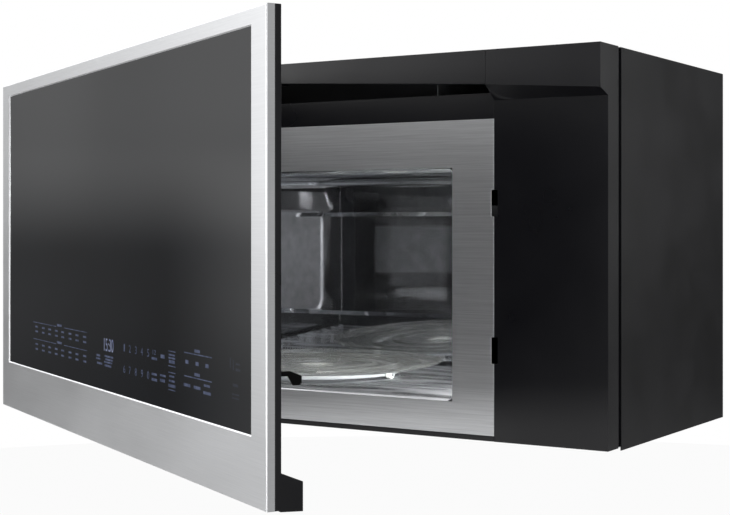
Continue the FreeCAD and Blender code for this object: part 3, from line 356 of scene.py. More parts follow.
# ---------------------------------------------------------------- finishes

# Share of the dull haze in the oven's steel: on its walls, on the left wall's pressed field,
# and on its floor, from clean to scuffed. A point belongs to the field when it lies this far
# behind the wall, and to the floor when it lies this near to it.
HAZE_WALLS, HAZE_FIELD, HAZE_FLOOR, HAZE_ROUGHNESS = 0.015, 0.3, (0.04, 0.6), 0.45
FIELD_BEHIND, FLOOR_NEAR = 0.8, 2.0

# The door's black glass and the marks lit behind it.
GLASS_BLACK, GLASS_ROUGHNESS, GLASS_SHINE = "#08090c", 0.02, 0.13

# The screen's punched field on the shut door, whose grey is painted light, from and to in metres along
# X and Z.
SCREEN_PAINTED_LIGHT_FIELD = (("X", 0.084, 0.536), ("Z", 0.139, 0.211))

# The grease filters' strands, and how far Blender's banded wave takes for one band at scale 1.
MESH_PITCH = 18.6037
WAVE_LENGTH = math.tau / 20


def brushed_stainless(name, on_door, colour, rough):
    """Stainless sheet, belt-ground along X: fine streaks that draw a reflection out up and down.

    The belt leaves scratches about 0.1 mm wide; the streaks here are 0.9 mm wide and 60 mm
    long, the finest that a render shows.
    """
    made, tree, shader = base(name, colour, rough, metallic=1.0, anisotropic=0.55,
                              anisotropic_rotation=0.25)
    streaks = grain(tree, (16, 60, 1100), 3, on_door)
    patches = grain(tree, (5, 5, 16), 2, on_door)
    around = add(tree, "ShaderNodeTangent", direction_type="RADIAL", axis="Z")
    drive(tree, shader, base_color=shades(tree, streaks, colour, "#d9dadc"),
          roughness=between(tree, patches, rough - 0.02, rough + 0.02),
          tangent=around.outputs["Tangent"])
    dent(tree, shader, streaks, 0.02, 0.3)
    return made


def bright_stainless():
    """Bright annealed stainless of the oven: a sharp mirror under a faint haze, scuffed on the floor.

    Rolling leaves the sheet's grains at slightly different angles, which gives the haze. The
    rollers and dishes dull the floor in streaks, so that it scatters light that the walls reflect;
    the left wall's pressed field keeps the dull grain of the press tool.
    """
    made, tree, shader = base("bright_annealed_stainless", "#c2c4c7", 0.04, metallic=1.0)
    waves = grain(tree, (5, 5, 9), 1)
    scuffs = grain(tree, (90, 90, 90), 3)
    tone = shades(tree, scuffs, "#bdbfc2", "#cdced1")
    drive(tree, shader, base_color=tone, roughness=between(tree, scuffs, 0.02, 0.05))
    dent(tree, shader, waves, 0.5, 0.12)
    hazy = add(tree, "ShaderNodeBsdfAnisotropic", {"Color": tone, "Roughness": HAZE_ROUGHNESS})
    at = add(tree, "ShaderNodeSeparateXYZ", {"Vector": pattern(tree, (1, 1, 1))})
    on_field = combined(tree, "LESS_THAN", at.outputs["X"], (CAVITY_X[0] - FIELD_BEHIND) * MM)
    on_floor = combined(tree, "LESS_THAN", at.outputs["Z"], (CAVITY_Z[0] + FLOOR_NEAR) * MM)
    walls = blended(tree, on_field, HAZE_WALLS, HAZE_FIELD)
    streaks = between(tree, grain(tree, (9, 45, 1), 3), *HAZE_FLOOR)
    share = blended(tree, on_floor, walls, streaks)
    surface(tree, layered(tree, share, shader.outputs["BSDF"], hazy.outputs["BSDF"]))
    return made


def powder_coat(name, dark, light, rough=0.34, shine=0.2):
    """Baked powder paint: satin, with orange peel about 1.5 mm across.

    Carbon black at the surface takes part of the shine, which the lower specular level stands for.
    """
    made, tree, shader = base(name, light, rough, ior=1.5, specular_ior_level=shine)
    peel = grain(tree, (650, 650, 650), 2)
    clouds = grain(tree, (14, 14, 14), 2)
    drive(tree, shader, base_color=shades(tree, clouds, dark, light),
          roughness=between(tree, clouds, rough - 0.03, rough + 0.04))
    dent(tree, shader, peel, 0.03, 0.5)
    return made


def moulded_abs(name, dark, light, rough=0.3, pits=900, shine=0.25):
    """Injection-moulded plastic: a fine spark texture from the tool, shinier where it is rubbed.

    The texture's pits trap part of the shine, which the lower specular level stands for. pits
    is their count per metre. 900 draws them 1.1 mm wide, coarser than the real 0.2 mm, so that
    they show.
    """
    made, tree, shader = base(name, light, rough, ior=1.53, specular_ior_level=shine)
    spark = grain(tree, (pits, pits, pits), 2)
    wear = grain(tree, (7, 7, 7), 3)
    drive(tree, shader, base_color=shades(tree, wear, dark, light),
          roughness=between(tree, wear, rough - 0.05, rough + 0.05))
    dent(tree, shader, spark, 0.02, 0.5)
    return made


def coated_glass():
    """Float glass, black-coated on its back: a deep bluish black under a sharp reflection.

    A thin anti-glare layer on its face cuts the shine to under a third, which the lower
    specular level stands for.
    """
    made, tree, shader = base("black_coated_glass", GLASS_BLACK, GLASS_ROUGHNESS, ior=1.5,
                              specular_ior_level=GLASS_SHINE)
    film = grain(tree, (5, 5, 9), 3, True)
    drive(tree, shader, base_color=shades(tree, film, "#07080b", "#0b0d11"),
          roughness=between(tree, film, 0.015, 0.05))
    dent(tree, shader, grain(tree, (3, 3, 3), 0, True), 0.05, 0.3)
    return made


def clear_glass(name, tint, rough, haze=0.0):
    """Pressed glass or clear plastic: tinted a little, with slow ripples and some haze from wear.

    Light passes straight through to what lies behind, as a real plate gathers it again there.
    """
    made, tree, shader = base(name, tint, rough, ior=1.5, transmission_weight=1.0)
    ripples = grain(tree, (22, 22, 22), 0)
    drive(tree, shader, roughness=between(tree, ripples, rough * 0.6, rough * 1.6))
    dent(tree, shader, ripples, 0.06, 0.4)
    worn = add(tree, "ShaderNodeBsdfDiffuse", {"Color": linear("#e8ebe8")})
    hazy = layered(tree, haze, shader.outputs["BSDF"], worn.outputs["BSDF"])
    clear = add(tree, "ShaderNodeBsdfTransparent", {"Color": linear(tint)})
    shadow = add(tree, "ShaderNodeLightPath").outputs["Is Shadow Ray"]
    surface(tree, layered(tree, shadow, hazy, clear.outputs["BSDF"]))
    return made


def galvanised():
    """Hot-dip galvanised sheet: dull zinc with crystals about 9 mm across."""
    made, tree, shader = base("galvanised_sheet", "#a3a6a8", 0.42, metallic=1.0)
    cells = add(tree, "ShaderNodeTexVoronoi", {
        "Vector": pattern(tree, (110, 110, 110)), "Scale": 1.0,
    })
    tone = add(tree, "ShaderNodeSeparateColor", {"Color": cells.outputs["Color"]}).outputs["Red"]
    drive(tree, shader, base_color=shades(tree, tone, "#9a9d9f", "#a8abad"),
          roughness=between(tree, tone, 0.38, 0.46))
    dent(tree, shader, cells.outputs["Distance"], 0.02, 0.4)
    return made


def raw_metal(name, dark, light, rough, size=3.0):
    """Cast or rolled metal with a mottled oxide film; size is the mottle's width in millimetres."""
    made, tree, shader = base(name, light, rough, metallic=1.0)
    count = 1000 / size
    mottle = grain(tree, (count, count, count), 4)
    drive(tree, shader, base_color=shades(tree, mottle, dark, light),
          roughness=between(tree, mottle, rough - 0.08, rough + 0.1))
    dent(tree, shader, mottle, 0.05, 0.5)
    return made


def filter_mesh():
    """Layers of expanded aluminium: crossed bright strands, with the gaps between them painted dark as
    shade.

    The strands are drawn 18.6 mm apart, about six times their real pitch, so that they show.
    """
    made, tree, shader = base("expanded_aluminium_mesh_painted_shade", "#b8babb", 0.35, metallic=1.0)
    strands = []
    for angle in (55, -55):
        place = add(tree, "ShaderNodeMapping", {
            "Vector": pattern(tree, (1, 1, 1)), "Rotation": Euler((0, 0, math.radians(angle))),
        })
        strands.append(add(tree, "ShaderNodeTexWave", {
            "Vector": place.outputs["Vector"], "Scale": WAVE_LENGTH / (MESH_PITCH * MM),
            "Distortion": 1.2, "Detail": 1.0, "Detail Scale": 40.0,
        }, wave_type="BANDS", bands_direction="X").outputs["Fac"])
    strands_over_painted_shade = combined(tree, "MAXIMUM", *strands)
    # Painted shade: the gaps between the strands are drawn dark.
    drive(tree, shader, base_color=shades(tree, strands_over_painted_shade, "#26282a", "#c6c8c9"),
          roughness=between(tree, strands_over_painted_shade, 0.6, 0.3))
    dent(tree, shader, strands_over_painted_shade, 0.8, 0.9)
    return made


def perforated_screen():
    """Black-enamelled steel with a punched field in its middle.

    The holes are 1.2 mm wide. They are drawn 4 mm apart, about twice their real pitch, so that
    they show. The field is painted grey and its holes a paler grey: painted light on the black enamel.
    """
    made, tree, shader = base("enamelled_screen_painted_light", "#101114", 0.3, ior=1.5, specular_ior_level=0.3)
    cells = add(tree, "ShaderNodeTexVoronoi", {
        "Vector": pattern(tree, (250, 250, 250), True), "Scale": 1.0, "Randomness": 0.0,
    })
    # Painted light: the holes' pale grey and the grey between them.
    holes = shades(tree, cells.outputs["Distance"], "#7c7d7f", "#313234")
    way = add(tree, "ShaderNodeSeparateXYZ", {"Vector": pattern(tree, (1, 1, 1), True)})
    within = []
    for axis, low, high in SCREEN_PAINTED_LIGHT_FIELD:
        within.append(add(tree, "ShaderNodeMath", {
            0: way.outputs[axis], 1: (low + high) / 2, 2: (high - low) / 2,
        }, operation="COMPARE").outputs["Value"])
    inside = combined(tree, "MULTIPLY", *within)
    # Painted light: the punched field is drawn lighter than the enamel around it.
    tone = add(tree, "ShaderNodeMix", {"Factor": inside, 6: linear("#0a0a0c"), 7: holes},
               data_type="RGBA")
    drive(tree, shader, base_color=tone.outputs[2],
          roughness=between(tree, cells.outputs["Distance"], 0.5, 0.25))
    dent(tree, shader, cells.outputs["Distance"], 0.1, 0.3)
    return made


def lit_marks(name, dark, light, strength):
    """Marks lit from behind a smoked film: cool grey-blue and uneven, under the glass's shine."""
    made, tree, shader = base(name, GLASS_BLACK, GLASS_ROUGHNESS, ior=1.5,
                              specular_ior_level=GLASS_SHINE)
    uneven = grain(tree, (160, 160, 160), 2)
    drive(tree, shader, emission_color=shades(tree, uneven, dark, light),
          roughness=between(tree, uneven, 0.02, 0.05))
    shader.inputs["Emission Strength"].default_value = strength
    return made


STAINLESS_DOOR = brushed_stainless("brushed_stainless_door", True, "#d2d3d5", 0.3)
STAINLESS_BODY = brushed_stainless("brushed_stainless_body", False, "#c6c7c9", 0.4)
STAINLESS_OVEN = bright_stainless()
PAINT_CASE = powder_coat("black_powder_coat", "#0b0b0d", "#111114")
PAINT_CHOKE = powder_coat("black_vitreous_enamel", "#08080a", "#0d0d10", 0.3, 0.3)
ABS_BLACK = moulded_abs("black_moulded_abs", "#0d0d10", "#131316")
# This black also paints the shade inside the oven's punched holes.
BLACK_LATCH_AND_HOLE_SHADE = moulded_abs("black_moulded_acetal_and_hole_shade", "#030303", "#060606", 0.35, 900, 0.08)
RING_GREY = moulded_abs("grey_moulded_nylon", "#7e8082", "#8e9092", 0.4)
PTFE_WHITE = moulded_abs("white_moulded_ptfe", "#dcdcd8", "#ecece8", 0.35)
RESIN_GREY = moulded_abs("grey_moulded_resin", "#6a6c6f", "#7d7f82", 0.45)
RUBBER = moulded_abs("black_rubber", "#0d0d0d", "#161616", 0.7, 400)
GLASS_DOOR = coated_glass()
GLASS_TRAY = clear_glass("pressed_clear_glass", "#f8f9f8", 0.02, 0.03)
GLASS_FILM = clear_glass("clear_window_film", "#e6e6e6", 0.04)
LENS = clear_glass("ribbed_clear_polycarbonate", "#f2f0e8", 0.25)
ZINC = galvanised()
ALUMINIUM = raw_metal("rolled_aluminium", "#a9abad", "#c3c5c7", 0.32, 6)
CORE_STEEL = raw_metal("laminated_core_steel", "#4b4d50", "#6a6c6f", 0.5, 1.5)
COPPER = raw_metal("enamelled_copper_wire", "#8a4a22", "#b56a36", 0.35, 1.0)
MOTOR = raw_metal("zinc_plated_can", "#8d8f8c", "#b0b2ae", 0.35, 8)
STEEL = raw_metal("zinc_plated_steel", "#8b8d8f", "#adafb1", 0.35, 4)
MICA = moulded_abs("mica_sheet", "#8d867a", "#b0a99b", 0.45, 300)
BOARD = moulded_abs("green_circuit_board", "#1d3b26", "#274b31", 0.4, 500)
CHARCOAL = moulded_abs("charcoal_granules", "#08080a", "#1c1c1e", 0.8, 350)
SCREEN = perforated_screen()
MESH = filter_mesh()

MARKS = lit_marks("marks_lit_behind_glass", "#46506e", "#7d88ac", 0.42)
MARKS_FAINT = lit_marks("marks_barely_lit", "#3a4154", "#59617a", 0.16)
MARKS_CLOCK = lit_marks("clock_led_digits", "#8f9bd0", "#c9d2f4", 0.42)

# ---------------------------------------------------------------- outer case and body

def on_top_bend(edge):
    """True where the case's sheet bends down from its top."""
    return all(abs(v.co.x) > (HALF - NEAR) * MM and v.co.z > (TOP - NEAR) * MM for v in edge.verts)


inner, under = HALF - CASE_SHEET, TOP - CASE_SHEET
wrap = section([(-HALF, CASE_FOOT), (-HALF, TOP), (HALF, TOP), (HALF, CASE_FOOT),
                (inner, CASE_FOOT), (inner, under), (-inner, under), (-inner, CASE_FOOT)],
               CASE_FRONT, 0)
rounded(wrap, 0.9, 4, where=on_top_bend)
holes = bmesh.new()
for x, y, radius in CASE_HOLES:
    rod(holes, "Z", (x, y, TOP), 8, radius, 48)
piece("outer_case_wrap", cut_away(wrap, holes), PAINT_CASE, "outer_case")

# The fully open door stops on the hinge side trim's face, which stands this far clear of it.
DOOR_STOP_GAP = 0.3

# Solids whose form is right: a welded copy of each, its outward edges rounded by this radius.
for name, finish, radius, node in (
    ("back_sheet", ZINC, 0.3, "rear_plate"),
    ("wall_plate", ZINC, 0.5, "wall_bracket"),
    ("underside_sheet", ZINC, 0.25, "base_plate"),
    ("underside_screws", STEEL, 0.5, "base_screws"),
    ("cord_grommet", RUBBER, 1.0, "cord_bushing"),
    ("control_side_panel", ABS_BLACK, 0.8, "right_panel"),
    ("hinge_side_trim", ABS_BLACK, 0.8, "left_trim"),
    ("vent_vanes", ABS_BLACK, 0.4, "vent_louvres"),
    ("under_vent_sill", ABS_BLACK, 0.5, "vent_sill"),
    ("bottom_strip", ABS_BLACK, 0.5, "lower_trim"),
    ("steel_front_frame", STAINLESS_BODY, 0.3, "front_frame"),
    ("hinge_arms", STEEL, 0.4, "hinge_brackets"),
    ("hinge_pin_pair", STEEL, 0.4, "hinge_pins"),
    ("door_hinge_ears", STEEL, 0.3, "door_hinge_plates"),
    ("latch_strike_board", RESIN_GREY, 0.4, "latch_board"),
    ("door_switches", RESIN_GREY, 0.4, "interlock_switches"),
    ("lower_switch_plunger", PTFE_WHITE, 0.3, "plunger_lower"),
    ("upper_switch_plunger", PTFE_WHITE, 0.3, "plunger_upper"),
    ("latch_hook_bar", BLACK_LATCH_AND_HOLE_SHADE, 0.6, "latch_bar"),
    ("latch_cover", ABS_BLACK, 0.6, "latch_housing"),
    ("latch_return_spring", STEEL, 0, "latch_spring"),
    ("door_moulding", ABS_BLACK, 0.7, "door_rim"),
    ("choke_pan", PAINT_CHOKE, 0.5, "choke_frame"),
    ("choke_moulding", ABS_BLACK, 0.8, "choke_cover"),
    ("perforated_window_screen", SCREEN, 0, "window_screen"),
    ("window_inner_pane", GLASS_FILM, 0.3, "inner_window"),
    ("touch_circuit", BOARD, 0.2, "touch_board"),
    ("wave_inlet_cover", MICA, 0.2, "waveguide_cover"),
    ("oven_lamp", RESIN_GREY, 0.3, "cavity_lamp"),
    ("wave_duct", ZINC, 0.4, "waveguide"),
    ("magnetron_yoke", STEEL, 0.4, "magnetron"),
    ("magnetron_cooling_fins", ALUMINIUM, 0, "magnetron_fins"),
    ("bay_deck", ZINC, 0.4, "component_tray"),
    ("transformer_laminations", CORE_STEEL, 0.5, "transformer_core"),
    ("transformer_winding", COPPER, 3.0, "transformer_coil"),
    ("capacitor_can", ALUMINIUM, 0.8, "capacitor"),
    ("fan_frame", RESIN_GREY, 0.6, "fan_shroud"),
    ("fan_drive", MOTOR, 0.8, "fan_motor"),
    ("fan_rotor", RESIN_GREY, 0.3, "fan_blade"),
    ("power_circuit", BOARD, 0.3, "power_board"),
    ("turntable_drive", MOTOR, 0.8, "turntable_motor"),
    ("turntable_spider", PTFE_WHITE, 0.6, "turntable_coupler"),
    ("turntable_roller_ring", RING_GREY, 0.4, "roller_ring"),
    ("white_roller_1", PTFE_WHITE, 0.6, "roller_1"),
    ("white_roller_2", PTFE_WHITE, 0.6, "roller_2"),
    ("white_roller_3", PTFE_WHITE, 0.6, "roller_3"),
    ("blower_scrolls", ZINC, 0.4, "blower_housing"),
    ("blower_drive", MOTOR, 0.8, "blower_motor"),
    ("blower_drums", RESIN_GREY, 0, "blower_wheels"),
    ("front_air_duct", ZINC, 0.3, "outlet_duct"),
    ("charcoal_pack", CHARCOAL, 0.4, "charcoal_filter"),
    ("left_grease_filter", MESH, 0.5, "grease_filter_left"),
    ("right_grease_filter", MESH, 0.5, "grease_filter_right"),
    ("cooktop_light_lenses", LENS, 0.5, "cooktop_lenses"),
    ("cooktop_light_boxes", RESIN_GREY, 0.5, "cooktop_lamps"),
):
    bm = copy_of(node)
    if node == "left_trim":
        for v in bm.verts:
            if v.co.y < (FRONT + NEAR) * MM:
                v.co.y = (FRONT + DOOR_STOP_GAP) * MM
    if radius:
        rounded(bm, radius, where=lambda e: e.is_convex)
    made = piece(name, bm, finish, node)
    if node == "latch_spring":
        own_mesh(made)


def under_band_top(edge):
    """True for outward edges of the band below its top, which stays flat under the case's top."""
    return edge.is_convex and all(v.co.z < (TOP - 0.5) * MM for v in edge.verts)


piece("vent_band", rounded(copy_of("vent_grille"), 0.8, where=under_band_top), ABS_BLACK, "vent_grille")

# ---------------------------------------------------------------- oven cavity

# Two points nearer than this are one, in metres.
SAME = 1e-5


def pressed(bm, normal, at, across, field):
    """Presses a field with rounded corners into the wall that faces normal at this distance.

    across is the wall's other axis; the field's two corners are given along (across, Z).
    """
    (left, foot), (right, head) = field
    along, upright = Vector(across), Vector((0, 0, 1))

    def wall():
        return [f for f in bm.faces if f.normal.dot(normal) > 0.99
                and abs(f.calc_center_median().dot(normal) - at * MM) < SAME]

    def within():
        return [f for f in wall() if left < f.calc_center_median().dot(along) / MM < right
                and foot < f.calc_center_median().z / MM < head]

    for value, axis in ((left, along), (right, along), (foot, upright), (head, upright)):
        faces = wall()
        geom = faces + list({e for f in faces for e in f.edges})
        geom += list({v for f in faces for v in f.verts})
        bmesh.ops.bisect_plane(bm, geom=geom, plane_co=axis * value * MM, plane_no=axis)
    bm.normal_update()
    bmesh.ops.bevel(bm, geom=list(within()[0].verts), offset=FIELD_CORNER * MM,
                    offset_type="OFFSET", segments=6, profile=0.5, affect="VERTICES", material=-1)
    bm.normal_update()
    middle = max(within(), key=lambda f: f.calc_area())
    bmesh.ops.inset_individual(bm, faces=[middle], thickness=FIELD_SLOPE * MM,
                               depth=-FIELD_DEPTH * MM)


room = bmesh.new()
slab(room, CAVITY_X, CAVITY_Y, CAVITY_Z)
front_faces = [f for f in room.faces if f.normal.y < -0.9]
bmesh.ops.delete(room, geom=front_faces, context="FACES_ONLY")
rounded(room, CAVITY_CORNER, 8)
bmesh.ops.reverse_faces(room, faces=room.faces)
room.normal_update()
pressed(room, Vector((1, 0, 0)), CAVITY_X[0], (0, 1, 0), LEFT_FIELD)
pressed(room, Vector((0, -1, 0)), -CAVITY_Y[1], (1, 0, 0), REAR_FIELD)
# The rear wall leans 2 degrees below its field, so its mirror image of the turntable rides high.
lean_foot, lean_head = CAVITY_Z[0] + CAVITY_CORNER, REAR_FIELD[0][1]
for v in room.verts:
    height = v.co.z / MM
    if abs(v.co.y - CAVITY_Y[1] * MM) < SAME and lean_foot - NEAR < height < lean_head + NEAR:
        v.co.y -= REAR_LEAN * MM * (height - lean_foot) / (lean_head - lean_foot)
lining = piece("oven_lining", room, STAINLESS_OVEN, "cavity_box", smooth=15, outward=False)
# The crease at the strip's top is too slight for the angle above, and still mirrors sharply.
for edge in lining.data.edges:
    if all(abs(lining.data.vertices[i].co.z - lean_head * MM) < SAME for i in edge.vertices):
        edge.use_edge_sharp = True
sheet = lining.modifiers.new("sheet", "SOLIDIFY")
sheet.thickness, sheet.offset = 1 * MM, -1.0

# Rows of punched holes, 4 mm apart in the rear wall and 6 mm apart in the right wall: thin black discs
# on the walls, painted shade that stands for their dark insides.
holes = bmesh.new()
for i in range(12):
    for j in range(3):
        rod(holes, "Y", (-207 + 4 * i, CAVITY_Y[1] - HOLE_SHADE_DEPTH / 2, 46 + 4 * j), HOLE_SHADE_DEPTH, 1.3, 10)
for i in range(6):
    for j in range(5):
        place = (CAVITY_X[1] - HOLE_SHADE_DEPTH / 2, FRONT + 34 + 6 * i, 202 + 6 * j)
        rod(holes, "X", place, HOLE_SHADE_DEPTH, 1.6, 10)
piece("oven_wall_hole_shade", holes, BLACK_LATCH_AND_HOLE_SHADE, "cavity_box", replaces=False)

# A clear plate: its underside, its turned-up rim and four rings pressed up from its face, as
# (radius, height).
TRAY_PROFILE = (
    (0, 46.9), (127, 46.9), (129, 47.4), (142, 50.6), (146, 52.6), (146, 54.3), (144.4, 54.3),
    (139.6, 51.9), (130, 50.1),
    (126, 50.1), (124, 51.2), (122, 50.1),
    (98, 50.1), (96, 51.2), (94, 50.1),
    (68, 50.1), (66, 51.2), (64, 50.1),
    (34, 50.1), (32, 50.8), (30, 50.1), (0, 50.1),
)
piece("glass_turntable", turned(TRAY_PROFILE, TABLE, 128), GLASS_TRAY, "turntable_tray", smooth=50)

# ---------------------------------------------------------------- door

surround = plate((DOOR_LEFT, DOOR_RIGHT), (DOOR_LOW, DOOR_HIGH),
                 (DOOR_FACE, DOOR_FACE + STEEL_SKIN),
                 (DOOR_LEFT + STILE, DOOR_RIGHT - STILE),
                 (DOOR_LOW + BOTTOM_RAIL, DOOR_HIGH - TOP_RAIL))
flange = plate((DOOR_LEFT, DOOR_RIGHT), (DOOR_LOW, DOOR_HIGH),
               (DOOR_FACE + STEEL_SKIN, DOOR_FACE + STEEL_RETURN),
               (DOOR_LEFT + STEEL_FLANGE, DOOR_RIGHT - STEEL_FLANGE),
               (DOOR_LOW + STEEL_FLANGE, DOOR_HIGH - STEEL_FLANGE))


def on_outline(v):
    """True for a point on the door's outer outline."""
    return (v.co.x < (DOOR_LEFT + NEAR) * MM or v.co.x > (DOOR_RIGHT - NEAR) * MM
            or v.co.z < (DOOR_LOW + NEAR) * MM or v.co.z > (DOOR_HIGH - NEAR) * MM)


def near_outline(v):
    """True for a point on the outline or on its rounding."""
    return not (DOOR_LEFT + 5 < v.co.x / MM < DOOR_RIGHT - 5
                and DOOR_LOW + 5 < v.co.z / MM < DOOR_HIGH - 5)


def on_face(v):
    """True for a point on the door's outer face."""
    return v.co.y < (DOOR_FACE + NEAR) * MM


rounded(surround, STEEL_EDGE, 4,
        where=lambda e: all(on_face(v) and on_outline(v) for v in e.verts))
rounded(surround, STEEL_EDGE, 1,
        where=lambda e: all(on_face(v) and not near_outline(v) for v in e.verts))
piece("steel_door_surround", swung(merged(surround, flange)), STAINLESS_DOOR, "door_frame")

pane = bmesh.new()
slab(pane, (DOOR_LEFT + GLASS_INSET, DOOR_RIGHT - GLASS_INSET),
     (DOOR_FACE + GLASS_FRONT, DOOR_FACE + GLASS_REAR),
     (DOOR_LOW + GLASS_INSET, DOOR_HIGH - GLASS_INSET))
piece("door_glass_pane", swung(rounded(pane, 0.4)), GLASS_DOOR, "door_glass")

# Touch marks, printed just in front of the glass: the middle of each bar along the door, its
# height up the door, its length and its thickness.
MARK_FACE, MARK_DEPTH = DOOR_FACE + 0.97, 0.02
KEY_STEPS = (126.4, 152.6, 176.9, 201.7, 224.7, 250.6, 274.6, 300.2)
SHORT_KEYS = (580.4, 603.3, 624.5)
BARS = [
    (157, 103.5, 88, 0.7), (269, 103.7, 78, 0.7), (212.7, 105.2, 17, 2.4),
    (157, 85.0, 88, 0.7), (269, 85.4, 78, 0.7), (212.7, 86.9, 17, 2.4),
    (604.5, 104, 61, 0.9), (603.3, 106.9, 12, 2.6), (604.5, 84.3, 61, 0.9), (603.3, 87.3, 12, 2.6),
    (344, 83.8, 11, 2.0), (344, 80.6, 14, 1.6), (376, 84.6, 26, 1.8), (376, 81.6, 22, 1.8),
    (348, 76.3, 16, 2.0), (374, 78.9, 24, 1.6), (373, 75.6, 20, 2.0),
    (501.5, 78.9, 13, 2.0), (501.5, 74.1, 14, 2.4), (501.5, 92.8, 14, 2.2),
    (522.5, 96.3, 10, 3.2), (523, 79.6, 14, 1.8), (522, 75.2, 12, 2.6),
    (545, 99.3, 15, 1.5), (545, 96.6, 16, 1.5), (545, 93.4, 14, 2.8), (545, 102.4, 17, 0.8),
    (545, 89.6, 17, 0.8), (545, 80.8, 12, 1.6), (545, 76.8, 14, 1.8), (545, 72.6, 17, 2.6),
    (545, 84.0, 17, 0.8), (545, 69.0, 17, 0.8),
    (624.5, 80.2, 13, 2.0), (625, 74.2, 16, 2.4), (580.4, 76.8, 15, 2.6), (603.3, 76.6, 15, 2.6),
]
BARS += [(x, z, 10, 1.9) for x in KEY_STEPS for z in (98.8, 93.6, 79.5, 74.1)]
BARS += [(x, 96.4, 7, 3.2) for x in SHORT_KEYS]
FAINT_BARS = [
    (673, 103, 2, 8), (679, 102, 2, 8), (688, 103, 8, 1.4), (688, 98.6, 9, 2.2),
    (683, 86.2, 10, 2.4), (683.5, 79.0, 14, 1.2), (683.5, 76.0, 14, 1.2),
]
# Digits of the keys and of one setting, and the clock's: what they say, then their left end
# along the door, the height of their foot, their width and their height.
KEY_DIGITS = (
    ("1", 419.5, 93.2, 3.2, 7.0), ("2", 434, 93.2, 5.2, 7.0), ("3", 450.5, 93.2, 5.2, 7.0),
    ("4", 466.5, 93.2, 5.2, 7.0), ("6", 418.5, 73.2, 5.2, 7.0), ("7", 434, 73.2, 5.2, 7.0),
    ("8", 450.5, 73.2, 5.2, 7.0), ("9", 467, 73.2, 5.2, 7.0), ("5", 483, 93.2, 5.2, 7.0),
    ("0", 483, 73.2, 5.2, 7.0), ("12", 497.5, 96.4, 8, 4.2),
)
CLOCK = ("15:30", 361.5, 89.5, 28, 12.4)


def bars(table):
    """The bars of a table as one mesh."""
    bm = bmesh.new()
    for x, z, length, thick in table:
        slab(bm, (x - length / 2, x + length / 2), (MARK_FACE, MARK_FACE + MARK_DEPTH),
             (z - thick / 2, z + thick / 2))
    return bm


def digits(text, x, z, width, height):
    """Plain digits made into a thin mesh of this width and height, standing on the door's face."""
    curve = bpy.data.curves.new("digits", "FONT")
    curve.body = text
    curve.extrude = 0.5
    writing = bpy.data.objects.new("digits", curve)
    bpy.context.scene.collection.objects.link(writing)
    bm = bmesh.new()
    bm.from_mesh(writing.evaluated_get(bpy.context.evaluated_depsgraph_get()).to_mesh())
    bpy.data.objects.remove(writing)
    bpy.data.curves.remove(curve)
    low = Vector([min(v.co[i] for v in bm.verts) for i in range(3)])
    span = Vector([max(v.co[i] for v in bm.verts) for i in range(3)]) - low
    fit = Matrix.Diagonal((width * MM / span.x, height * MM / span.y, MARK_DEPTH * MM / span.z, 1))
    stand = Matrix.Translation(Vector((x, MARK_FACE + MARK_DEPTH / 2, z)) * MM)
    stand = stand @ Matrix.Rotation(math.pi / 2, 4, "X")
    bmesh.ops.transform(bm, matrix=stand @ fit @ Matrix.Translation(-low), verts=bm.verts)
    return bm


keys = [digits(*row) for row in KEY_DIGITS]
piece("touch_marks", swung(merged(bars(BARS), *keys)), MARKS, "door_glass", replaces=False)
piece("faint_touch_marks", swung(bars(FAINT_BARS)), MARKS_FAINT, "door_glass", replaces=False)
piece("clock_digits", swung(digits(*CLOCK)), MARKS_CLOCK, "door_glass", replaces=False)

# ---------------------------------------------------------------- studio

FLOOR_LEVEL, FLOOR_RADIUS = -480.0, 3000.0
BACKDROP_WHITE = (1, 1, 1, 1)
# Share of plain white in the floor that the camera sees; the rest is lit paper.
FLOOR_WHITE = 0.93


def studio_floor():
    """Matt paper; what the camera sees of it is white, less a soft shadow.

    Its fibres are drawn 2.5 mm long, which only evens out the light that it sends back.
    """
    made = bpy.data.materials.new("matt_white_paper")
    made.use_nodes = True
    tree = made.node_tree
    tree.nodes.clear()
    fibres = grain(tree, (400, 400, 400), 3)
    paper = add(tree, "ShaderNodeBsdfDiffuse", {"Color": shades(tree, fibres, "#a8a8a8", "#b0b0b0")})
    white = add(tree, "ShaderNodeEmission", {"Color": BACKDROP_WHITE, "Strength": 1.0})
    seen = add(tree, "ShaderNodeLightPath").outputs["Is Camera Ray"]
    share = combined(tree, "MULTIPLY", seen, FLOOR_WHITE)
    shown = layered(tree, share, paper.outputs["BSDF"], white.outputs["Emission"])
    add(tree, "ShaderNodeOutputMaterial", {"Surface": shown})
    return made


floor_bm = bmesh.new()
bmesh.ops.create_circle(floor_bm, cap_ends=True, segments=64, radius=FLOOR_RADIUS * MM,
                        matrix=Matrix.Translation((0, 0, FLOOR_LEVEL * MM)))
floor_mesh = bpy.data.meshes.new("studio_floor")
floor_bm.to_mesh(floor_mesh)
floor_bm.free()
floor_mesh.materials.append(studio_floor())
floor = bpy.data.objects.new("studio_floor", floor_mesh)
bpy.context.scene.collection.objects.link(floor)

world = bpy.data.worlds.new("studio")
bpy.context.scene.world = world
world.use_nodes = True
sky = world.node_tree
sky.nodes.clear()
# White to the camera. To the surfaces it is a room: each part of it is a product of smooth
# curves over the direction's X, Y and Z, and the parts add up.
way = add(sky, "ShaderNodeSeparateXYZ", {"Vector": add(sky, "ShaderNodeTexCoord").outputs["Generated"]})


